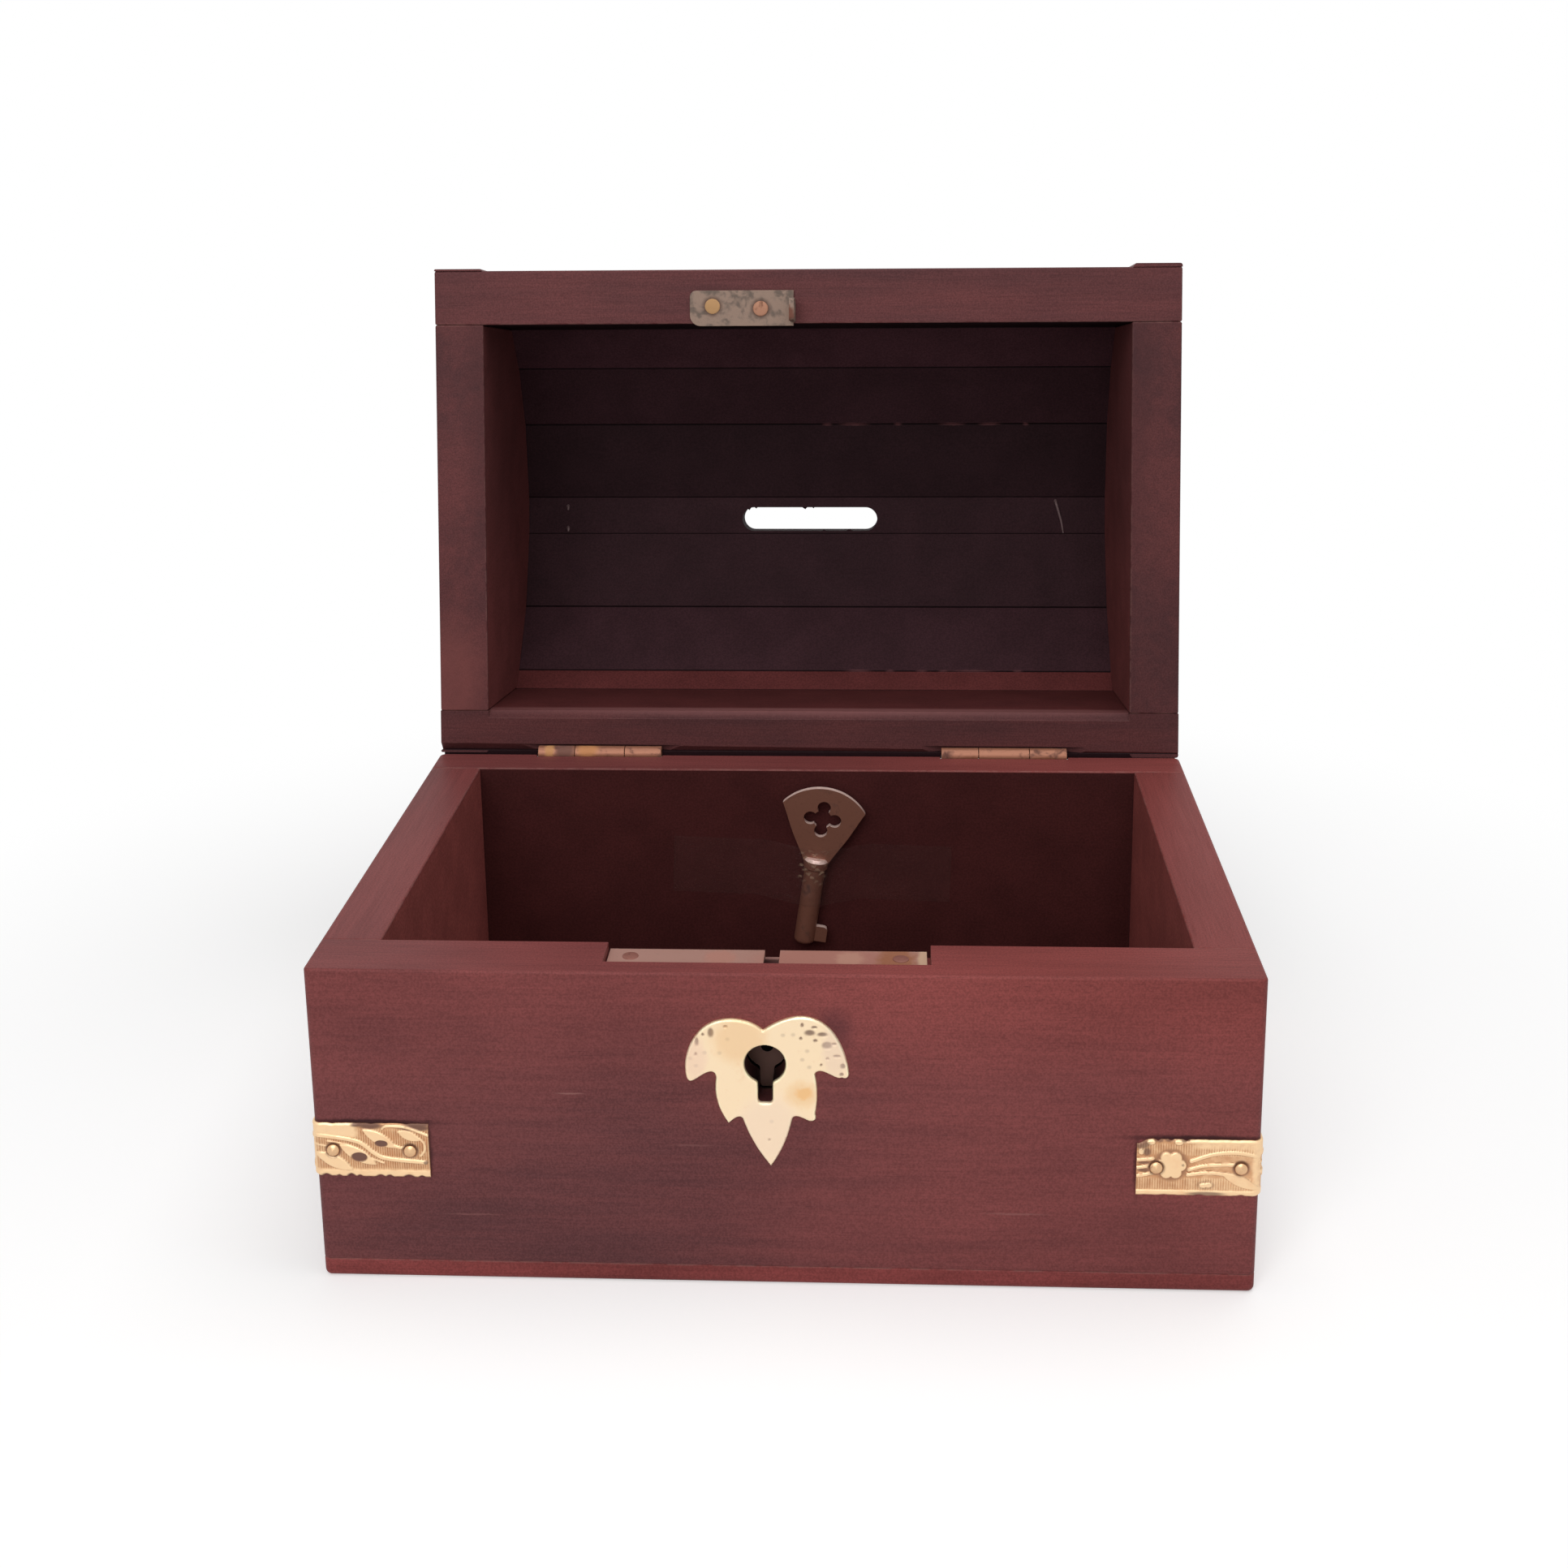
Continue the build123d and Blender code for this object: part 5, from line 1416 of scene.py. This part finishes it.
# For each stave, how much paler it is outside than the rest, and how many times the lid's inside colour (painted
# shade) it has
STAVE_TONES = ((-0.20, 4.3), (-0.28, 2.8), (-0.24, 1.65), (-0.18, 2.1), (-0.26, 2.45), (-0.20, 3.1), (-0.15, 1.0))


def base_mahogany(direction):
    tint = settings("wood")
    inside = tint.side_inside if direction == "y" else tint.inside
    marks = front_marks() if direction == "x" else ()
    return wood(f"mahogany_base_{direction}", direction, tint.pale, tint.deep, inside, tint.warm, spots=marks)


def lid_mahogany(direction):
    tint = settings("wood")
    inside, marks = (tint.lid_inside, lid_marks()) if direction == "x" else (tint.end_inside, lid_end_marks())
    return wood(f"mahogany_lid_{direction}", direction, tint.pale, tint.deep, inside, spots=marks)


def ledge_mahogany():
    tint = settings("wood")
    return wood("mahogany_ledge", "x", tint.pale, tint.deep, tint.ledge, spots=lid_marks() + ledge_marks())


class CHEST_OT_base_boards(ChestPieceOperator, bpy.types.Operator):
    """Softens and finishes the walls and the bottom board of the base"""

    bl_idname = "chest.base_boards"
    bl_label = "Base Boards"

    def make(self):
        tint = settings("wood")
        for node, (direction, tone) in BASE_WALLS.items():
            worn_piece(node, base_mahogany(direction), "mahogany", tint.board_edge, tone=tone)
        foot = wood("foot_mahogany", "x", tint.foot, [c * 0.6 for c in tint.foot], tint.inside)
        worn_piece("base_bottom_board", foot, "foot_wood", tint.board_edge)


class CHEST_OT_lid_boards(ChestPieceOperator, bpy.types.Operator):
    """Softens and finishes the straight boards, the end panels and the end bands of the lid"""

    bl_idname = "chest.lid_boards"
    bl_label = "Lid Boards"

    def make(self):
        tint = settings("wood")
        for node, finish, tone in (
            ("lid_front_board", lid_mahogany("x"), LID_TONE + 0.05),
            ("lid_back_board", ledge_mahogany(), LID_TONE - 0.1),
            ("lid_left_end", lid_mahogany("lid_end"), LID_TONE),
            ("lid_right_end", lid_mahogany("lid_end"), LID_TONE - 0.05),
        ):
            worn_piece(node, finish, "mahogany", tint.board_edge, tone=tone)
        for side in ("left", "right"):
            band = wood("band_mahogany", "lid_end", tint.pale, tint.deep, tint.lid_inside)
            worn_piece(f"lid_{side}_band", band, "band_wood", tint.stave_edge, tone=LID_TONE)
        # Dark lips painted as shade in the gap behind the open lid
        shadowed = wood("shadowed_mahogany", "x", tint.lid_inside, tint.lid_inside, tint.lid_inside)
        add_piece("lid_back_lips", back_shade_lips(), shadowed, "mahogany", "lid")


# The lips' section, Y and Z on the shut lid, and how far their ends stand from the hinges and the lid's sides
LIP_SECTION = ((49.35, 55.4), (50.75, 55.7), (50.75, 57.4), (49.35, 57.7))
LIP_HINGE_GAP = 0.03
LIP_SIDE_GAP = 0.6


def back_shade_lips():
    """Thin dark lips along the lid's back edge, between the hinges, that fill the gap of the open lid with painted
    shade.
    """
    first, second, third, fourth = HINGE_ENDS
    inner_ends = [first - LIP_HINGE_GAP, second + LIP_HINGE_GAP, third - LIP_HINGE_GAP, fourth + LIP_HINGE_GAP]
    ends = [LIP_SIDE_GAP - HALF_WIDTH, *inner_ends, HALF_WIDTH - LIP_SIDE_GAP]
    work = bmesh.new()
    for low, high in zip(ends[::2], ends[1::2]):
        near, far = (
            [work.verts.new(Vector(swing((x, y, z))) * MM) for y, z in LIP_SECTION] for x in (low, high)
        )
        for k in range(4):
            after = (k + 1) % 4
            work.faces.new((near[k], near[after], far[after], far[k]))
        work.faces.new(near[::-1])
        work.faces.new(far)
    bmesh.ops.recalc_face_normals(work, faces=work.faces)
    sharp = [edge for edge in work.edges if edge.calc_face_angle() > radians(30)]
    rounded = [edge for edge in sharp if not at_hinge_end(edge, 2 * LIP_HINGE_GAP)]
    bmesh.ops.bevel(work, geom=rounded, offset=0.15 * MM, segments=2, profile=0.5, affect="EDGES")
    return even_normals(finished("lid_back_lips", work))


SLOT_EDGES = (1.8, 7.2)
# Splinters at the edges of the coin slot: X, which edge, width and how far it stands out
SPLINTERS = (
    (-15.3, 0, 1.5, 0.7), (-13.6, 0, 0.8, 0.35), (-2.4, 0, 1.3, 0.5),
    (-0.4, 0, 0.6, 0.3), (7.8, 1, 1.6, 0.45), (2.0, 1, 0.9, 0.25),
)
SPLINTER_LINING = 1.6


def slot_splinters():
    """Small splinters left along the edges of the coin slot."""
    low, high = DOME_TOP_INSIDE + 0.35, DOME_TOP_INSIDE + 2.2
    work = bmesh.new()
    for x, edge, wide, out in SPLINTERS:
        toward = 1 if edge == 0 else -1
        wall = SLOT_EDGES[edge]
        places = [(x - wide / 2, low), (x + wide / 2, low), (x + wide / 3, high), (x - wide / 3, high)]
        base = [work.verts.new(Vector(swing((px, wall - toward * 0.04, pz))) * MM) for px, pz in places]
        tip = work.verts.new(Vector(swing((x + 0.12 * wide, wall + toward * out, low + 0.35))) * MM)
        work.faces.new(base)
        for k in range(4):
            work.faces.new((base[(k + 1) % 4], base[k], tip))
    bmesh.ops.recalc_face_normals(work, faces=work.faces)
    inside = work.faces.layers.float.new("inside")
    for face in work.faces:
        face[inside] = SPLINTER_LINING
    return finished("slot_splinters", work)


class CHEST_OT_lid_staves(ChestPieceOperator, bpy.types.Operator):
    """Softens and finishes the seven staves of the domed lid, each in its own tone"""

    bl_idname = "chest.lid_staves"
    bl_label = "Lid Staves"

    def make(self):
        edge = settings("wood").stave_edge
        for number, (tone, lining) in enumerate(STAVE_TONES, start=1):
            finish = ledge_mahogany() if number == len(STAVE_TONES) else lid_mahogany("x")
            worn_piece(f"lid_stave_{number}", finish, "mahogany", edge, tone=tone, lining=lining)
        add_piece("slot_splinters", slot_splinters(), lid_mahogany("x"), "mahogany", "lid")


class CHEST_OT_corner_strips(ChestPieceOperator, bpy.types.Operator):
    """Makes the pressed brass strips round the corners of the base"""

    bl_idname = "chest.corner_strips"
    bl_label = "Corner Strips"

    def make(self):
        for name in CORNER_STRIPS:
            corner_strip(name)


class CHEST_OT_lid_strips(ChestPieceOperator, bpy.types.Operator):
    """Makes the pressed brass strips over the ends of the lid"""

    bl_idname = "chest.lid_strips"
    bl_label = "Lid Strips"

    def make(self):
        for side in (-1, 1):
            lid_strip(side)


class CHEST_OT_escutcheon(ChestPieceOperator, bpy.types.Operator):
    """Makes the leaf-shaped keyhole plate with its pits"""

    bl_idname = "chest.escutcheon"
    bl_label = "Escutcheon"

    def make(self):
        brass = settings("brass")
        spots = [
            ((-6.5, FRONT, BASE_TOP - 11.0), (4.2, 3.0, 4.2), (0.93, 0.58, 0.28), 0.45, 1.5),
            ((-2.0, FRONT, BASE_TOP - 26.5), (5.0, 3.0, 6.0), (1.0, 0.78, 0.62), 0.45, 0.0),
            ((-13.6, FRONT, BASE_TOP - 14.5), (1.8, 3.0, 3.6), (0.95, 0.66, 0.52), 0.45, 1.0),
            ((8.6, FRONT, BASE_TOP - 12.8), (2.0, 3.0, 4.6), (0.90, 0.68, 0.54), 0.45, 1.0),
            ((3.3, FRONT, BASE_TOP - 20.4), (2.6, 3.0, 2.3), (0.96, 0.62, 0.30), 0.45, 1.6),
            ((3.6, FRONT, BASE_TOP - 20.2), (1.3, 3.0, 1.1), (0.93, 0.50, 0.16), 0.55, 1.2),
        ]
        finish = metal("pale_gold", brass.escutcheon, (0.86, 0.56, 0.32), 0.0045, 0.30, 0.36, 0.75, spots)
        place_piece("keyhole_leaf", keyhole_leaf(), finish, "plain_brass", "escutcheon")


def set_specular(material, level):
    material.node_tree.nodes["Principled BSDF"].inputs["Specular IOR Level"].default_value = level


def blacken_hollow(mesh, low, high):
    """Marks the faces inside a case for painted shade, as no light reaches them."""
    held = mesh.attributes.new("hollow", "FLOAT", "FACE").data
    for face in mesh.polygons:
        depth = min(min(face.center[k] - low[k], high[k] - face.center[k]) for k in range(3))
        held[face.index].value = float(depth > 0.3 * MM)


class CHEST_OT_lock(ChestPieceOperator, bpy.types.Operator):
    """Finishes the lock plate, the strike plate with its tab, and the works inside the lock"""

    bl_idname = "chest.lock"
    bl_label = "Lock"

    def make(self):
        tint = settings("lock")
        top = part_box("lock_plate")[1].z / MM
        # Spots on the lock's sheet; the one at the keyhole is painted shade
        spots = [
            ((7.0, -41.4, top), (11.0, 5.0, 2.2), (0.36, 0.130, 0.095), 0.7, 2.0),
            ((10.8, -41.0, top), (2.2, 2.4, 2.2), (0.54, 0.29, 0.21), 0.6, 2.0),
            ((18.4, -41.4, top), (3.2, 5.0, 2.2), (0.30, 0.105, 0.042), 0.85, 2.0),
            ((22.8, -41.4, top), (1.0, 5.0, 2.2), (0.62, 0.42, 0.27), 0.8, 0.6),
            ((-10.0, -41.0, top), (2.6, 2.6, 2.2), (0.44, 0.17, 0.12), 0.5, 2.0),
            (KEYHOLE, (6.5, 9.0, 9.0), UNLIT, 1.0, 0.0),
            ((LOCK_X, -41.5, top - 2.2), (3.4, 4.5, 1.5), (0.11, 0.036, 0.036), 0.95, 0.0),
        ]
        plate, case = (
            metal(f"lock_{part}_sheet", tint.sheet, tint.sheet_dull, 0.006, 0.30, 0.50, 0.35, spots)
            for part in ("plate", "case")
        )
        set_specular(case, 0.0)
        worn_piece("lock_plate", plate, "lock_sheet", tint.edge)
        low, high = (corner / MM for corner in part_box("strike_plate"))
        right, middle, face = high.x, (low.z + high.z) / 2, low.y
        # Spots on the strike plate: rust, painted shade beside the tab's root, a lighter patch, and a painted glint at
        # the lower left corner; then a dark ring round each nail
        spots = [
            ((right - 1.3, face, middle - 0.2), (1.5, 5.0, 1.6), tint.rust, 0.85, 2.0),
            ((right - 2.9, face, middle + 0.3), (0.7, 5.0, 1.3), (0.07, 0.03, 0.03), 0.7, 1.0),
            ((right - 8.0, face, middle - 2.2), (3.0, 5.0, 1.2), (0.33, 0.21, 0.18), 0.5, 2.0),
            ((low.x + 1.2, face, low.z + 1.0), (1.0, 5.0, 0.9), (0.55, 0.50, 0.25), 0.6, 0.8),
        ]
        for seat, _, radius, _ in nail_places("strike_nails"):
            spots.append((tuple(seat / MM), (radius / MM * 1.22,) * 3, (0.10, 0.05, 0.035), 0.85, 0.5))
        strike = metal("strike_sheet", tint.strike, (0.165, 0.122, 0.098), 0.0022, 0.62, 0.52, 0.35, spots)
        worn_piece("strike_plate", strike, "lock_sheet", tint.edge)
        # Painted shade round the keyhole on the lock works
        keyhole_shade = [(KEYHOLE, (5.0, 13.0, 8.0), UNLIT, 1.0, 0.0)]
        steel = metal("dark_lock_steel", tint.steel, (0.05, 0.03, 0.025), 0.004, 0.4, 0.6, 0.3, keyhole_shade)
        set_specular(steel, 0.1)
        blacken_hollow(worn_piece("lock_case", case, "lock_sheet", tint.edge / 2).data, *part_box("lock_case"))
        for node in ("lock_key_post", "lock_guide_pins", "lock_bolt", "lock_spring"):
            worn_piece(node, steel, "lock_steel", tint.edge / 2)


class CHEST_OT_hinges(ChestPieceOperator, bpy.types.Operator):
    """Finishes the leaves, knuckles and pins of both hinges"""

    bl_idname = "chest.hinges"
    bl_label = "Hinges"

    def make(self):
        brass = settings("brass")
        # Spots on the hinges: a dark patch, two painted golden highlights on the left knuckles, and darker bands low
        # in front of the knuckles
        spots = [
            ((-49.9, 49.5, 55.6), (2.0, 2.2, 2.2), (0.17, 0.075, 0.06), 0.8, 0.5),
            ((-53.1, 49.5, 55.6), (1.0, 2.0, 2.0), (0.70, 0.36, 0.14), 0.7, 0.5),
            ((-45.2, 49.5, 55.8), (2.2, 1.8, 1.8), (0.70, 0.32, 0.11), 0.6, 0.5),
            ((-42.0, 48.6, 54.2), (5.0, 0.8, 0.8), (0.22, 0.06, 0.02), 0.8, 0.5),
            ((33.5, 48.7, 54.5), (2.6, 0.9, 0.9), (0.22, 0.07, 0.03), 0.7, 0.5),
            ((49.0, 48.7, 54.5), (2.4, 0.9, 0.9), (0.22, 0.07, 0.03), 0.7, 0.5),
        ]
        edge, pin_edge = 0.16 * MM, 0.12 * MM
        finish = metal("stained_hinge_brass", brass.hinge, (0.14, 0.055, 0.040), 0.0032, 0.55, 0.5, 0.4, spots)
        for side in ("left", "right"):
            for part in ("base", "lid"):
                worn_piece(f"hinge_{side}_{part}_leaf", finish, "hinge_brass", edge)
        worn_piece("hinge_pins", finish, "hinge_brass", pin_edge)


# Nail ends that come through the dome: name, radius, and path as X, Y and height over the dome's inner top
NAIL_ENDS = (
    (
        "clenched_nail_end",
        0.42,
        (
            (54.8, 0.1, 0.6), (54.85, 0.5, -0.35), (55.2, 1.6, -0.5),
            (56.2, 5.1, -0.45), (56.45, 6.6, -0.5), (56.6, 7.6, -0.75),
        ),
    ),
    ("upper_nail_tip", 0.5, ((-57.0, 1.4, 0.5), (-57.0, 1.5, -0.2), (-56.9, 1.9, -0.55), (-56.9, 2.4, -0.6))),
    ("lower_nail_tip", 0.5, ((-57.0, 6.3, 0.5), (-57.0, 6.4, -0.2), (-56.9, 6.8, -0.55), (-56.9, 7.3, -0.6))),
)


class CHEST_OT_nails(ChestPieceOperator, bpy.types.Operator):
    """Drives every nail of the strips, hinges, lock and strike plate"""

    bl_idname = "chest.nails"
    bl_label = "Nails"

    def make(self):
        brass, lock = settings("brass"), settings("lock")
        small = metal("small_nail_brass", brass.nail, (0.25, 0.12, 0.08), 0.0016, 0.35, 0.3, 0.85)
        driven_nails("base_strip_nail_heads", "base_strip_nails", small, "brass_nails", seed=7)
        driven_nails("lid_strip_nail_heads", "lid_strip_nails", small, "brass_nails", seed=11)
        leaf_finish = metal("hinge_nail_brass", brass.hinge, (0.2, 0.1, 0.07), 0.002, 0.4, 0.5, 0.5)
        driven_nails("hinge_base_nail_heads", "hinge_base_nails", leaf_finish, "hinge_brass", 2.6, seed=3)
        driven_nails("hinge_lid_nail_heads", "hinge_lid_nails", leaf_finish, "hinge_brass", 2.6, seed=5)
        flat = metal("reddish_nail_metal", lock.nail, (0.12, 0.04, 0.03), 0.0018, 0.45, 0.6, 0.25)
        rise = 0.25 * MM
        driven_nails("lock_nail_heads", "lock_nails", flat, "lock_nail_metal", 5.0, rise, 0.02, 2, 0.85)
        yellow = nail_places("strike_nails")[0][0] / MM
        spots = [(tuple(yellow), (2.6, 2.6, 2.6), (0.58, 0.34, 0.15), 0.85, 0.4)]
        pinkish = metal("strike_nail_brass", lock.strike_nail, (0.20, 0.08, 0.045), 0.0022, 0.45, 0.6, 0.3, spots)
        driven_nails("strike_nail_heads", "strike_nails", pinkish, "lock_nail_metal", 5.0, rise, 0.02, 9)
        grey = metal("grey_nail_tip", (0.16, 0.10, 0.10), (0.06, 0.03, 0.03), 0.0012, 0.5, 0.6, 0.3)
        for name, radius, path in NAIL_ENDS:
            places = swing([(x, y, DOME_TOP_INSIDE + rise) for x, y, rise in path])
            bent_nail(name, places, radius, grey, "brass_nails", "lid")


class CHEST_OT_key(ChestPieceOperator, bpy.types.Operator):
    """Finishes the key and lays the clear tape over it"""

    bl_idname = "chest.key_and_tape"
    bl_label = "Key and Tape"

    def make(self):
        key = settings("key")
        finish = metal("worn_key_metal", key.metal, key.dull, 0.0030, 0.45, 0.45, 0.35, rim_highlight=tuple(key.rim))
        mesh = softened("key", key.edge, segments=3)
        # Painted highlight: the key's edges that face up are marked for the bright rim colour
        wear = mesh.attributes["wear"].data
        for vertex in mesh.vertices:
            wear[vertex.index].value = float(soft_step(0.25, 0.75, vertex.normal.z))
        place_piece("key_worn", mesh, finish, "key_metal", "key")
        place_piece("wrinkled_tape", wrinkled_tape(), clear_film(), "clear_tape", "key_tape")


class CHEST_OT_stage(ChestPieceOperator, bpy.types.Operator):
    """Sets the pale floor, the soft lights and the camera"""

    bl_idname = "chest.stage"
    bl_label = "Stage"

    def make(self):
        stage = settings("stage")
        floor(stage)
        white_sky(stage)
        soft_light("front_light", (-0.10, -0.62, 0.50), (0, 0, 0.06), 0.55, stage.key_light)
        soft_light("top_light", (0.12, 0.02, 0.72), (0, 0, 0.05), 0.5, stage.top_light)
        photograph_camera()


def floor(stage):
    """A pale round floor that keeps the chest's shadow and fades to white around it."""
    rings, spokes = 12, 64
    turns = [2 * pi * k / spokes for k in range(spokes)]
    points, faces = [(0.0, 0.0, 0.0)], []
    for ring in range(1, rings + 1):
        radius = stage.floor_radius * (ring / rings) ** 2
        points += [(radius * cos(turn), radius * sin(turn), 0.0) for turn in turns]
    for k in range(spokes):
        following = (k + 1) % spokes
        faces.append((0, 1 + k, 1 + following))
        for ring in range(rings - 1):
            near, far = 1 + ring * spokes, 1 + (ring + 1) * spokes
            faces.append((near + k, far + k, far + following, near + following))
    mesh = bpy.data.meshes.new("pale_floor")
    mesh.from_pydata(points, [], faces)
    made, w, shader = new_material("pale_floor")
    shader.inputs["Base Color"].default_value = (0.86, 0.86, 0.86, 1.0)
    shader.inputs["Roughness"].default_value = 0.9
    fade = w.ramp(w.far(w.place()), stage.fade_start, stage.fade_end)
    seen = w.background_rays()
    white = w.out("ShaderNodeEmission", {"Color": (1, 1, 1, 1), "Strength": 1.0})
    lift = w.out("ShaderNodeEmission", {"Color": (1, 1, 1, 1), "Strength": w.math("MULTIPLY", seen, stage.floor_lift)})
    lifted = w.out("ShaderNodeAddShader", {0: shader.outputs[0], 1: lift})
    mixed = w.out("ShaderNodeMixShader", {0: w.math("MULTIPLY", fade, seen), 1: lifted, 2: white})
    w.join(mixed, w.tree.nodes["Material Output"].inputs["Surface"])
    mesh.materials.append(made)
    link("pale_floor", mesh)


def white_sky(stage):
    """Soft light from all around, seen as plain white."""
    world = bpy.data.worlds.new("white_sky")
    world.use_nodes = True
    w = Wiring(world.node_tree)
    background = world.node_tree.nodes["Background"]
    background.inputs["Color"].default_value = (1, 1, 1, 1)
    w.join(w.ramp(w.background_rays(), 0.0, 1.0, stage.sky, 1.0), background.inputs["Strength"])
    bpy.context.scene.world = world
    bpy.context.scene.view_settings.view_transform = "Standard"


def soft_light(name, place, target, size, watts):
    lamp = bpy.data.lights.new(name, "AREA")
    lamp.shape = "SQUARE"
    lamp.size = size
    lamp.energy = watts
    aim = Vector(target) - Vector(place)
    link(name, lamp).matrix_world = Matrix.Translation(place) @ aim.to_track_quat("-Z", "Y").to_matrix().to_4x4()


CAMERA_PLACE = (0.01747, -0.33197, 0.19507)
CAMERA_YAW, CAMERA_PITCH, CAMERA_ROLL = radians(-2.877), radians(13.278), radians(-0.671)
CAMERA_LENS = 45.043
CAMERA_SHIFT = (-0.0072, -0.16874)


def photograph_camera():
    """The camera at the photograph's viewing angle, a little above the open chest."""
    camera = bpy.data.cameras.new("photograph_camera")
    camera.lens = CAMERA_LENS
    camera.sensor_width = 36.0
    camera.shift_x, camera.shift_y = CAMERA_SHIFT
    camera.clip_start = 0.01
    flat = cos(CAMERA_PITCH)
    forward = Vector((sin(CAMERA_YAW) * flat, cos(CAMERA_YAW) * flat, -sin(CAMERA_PITCH)))
    level = Vector((cos(CAMERA_YAW), -sin(CAMERA_YAW), 0.0))
    above = level.cross(forward)
    right = level * cos(CAMERA_ROLL) + above * sin(CAMERA_ROLL)
    up = above * cos(CAMERA_ROLL) - level * sin(CAMERA_ROLL)
    turn = Matrix((right, up, -forward)).transposed().to_4x4()
    holder = link("photograph_camera", camera)
    holder.matrix_world = Matrix.Translation(CAMERA_PLACE) @ turn
    bpy.context.scene.camera = holder


OPERATORS = (
    CHEST_OT_stage,
    CHEST_OT_base_boards,
    CHEST_OT_lid_boards,
    CHEST_OT_lid_staves,
    CHEST_OT_corner_strips,
    CHEST_OT_lid_strips,
    CHEST_OT_escutcheon,
    CHEST_OT_lock,
    CHEST_OT_hinges,
    CHEST_OT_nails,
    CHEST_OT_key,
)


class CHEST_PT_pieces(bpy.types.Panel):
    """Lists the pieces of the chest in the sidebar"""

    bl_idname = "CHEST_PT_pieces"
    bl_label = "Treasure Chest"
    bl_space_type = "VIEW_3D"
    bl_region_type = "UI"
    bl_category = "Chest"

    def draw(self, context):
        for operator in OPERATORS:
            self.layout.operator(operator.bl_idname)
        for part in PARTS:
            box = self.layout.box()
            held = settings(part)
            for name in held.__annotations__:
                box.prop(held, name)


def register():
    for part, kind in PARTS.items():
        bpy.utils.register_class(kind)
        setattr(bpy.types.Scene, f"chest_{part}", PointerProperty(type=kind))
    for kind in (*OPERATORS, CHEST_PT_pieces):
        bpy.utils.register_class(kind)


def unregister():
    for kind in (CHEST_PT_pieces, *reversed(OPERATORS)):
        bpy.utils.unregister_class(kind)
    for part, kind in PARTS.items():
        delattr(bpy.types.Scene, f"chest_{part}")
        bpy.utils.unregister_class(kind)


def main():
    register()
    for operator in OPERATORS:
        family, name = operator.bl_idname.split(".")
        getattr(getattr(bpy.ops, family), name)()


if __name__ == "__main__":
    main()
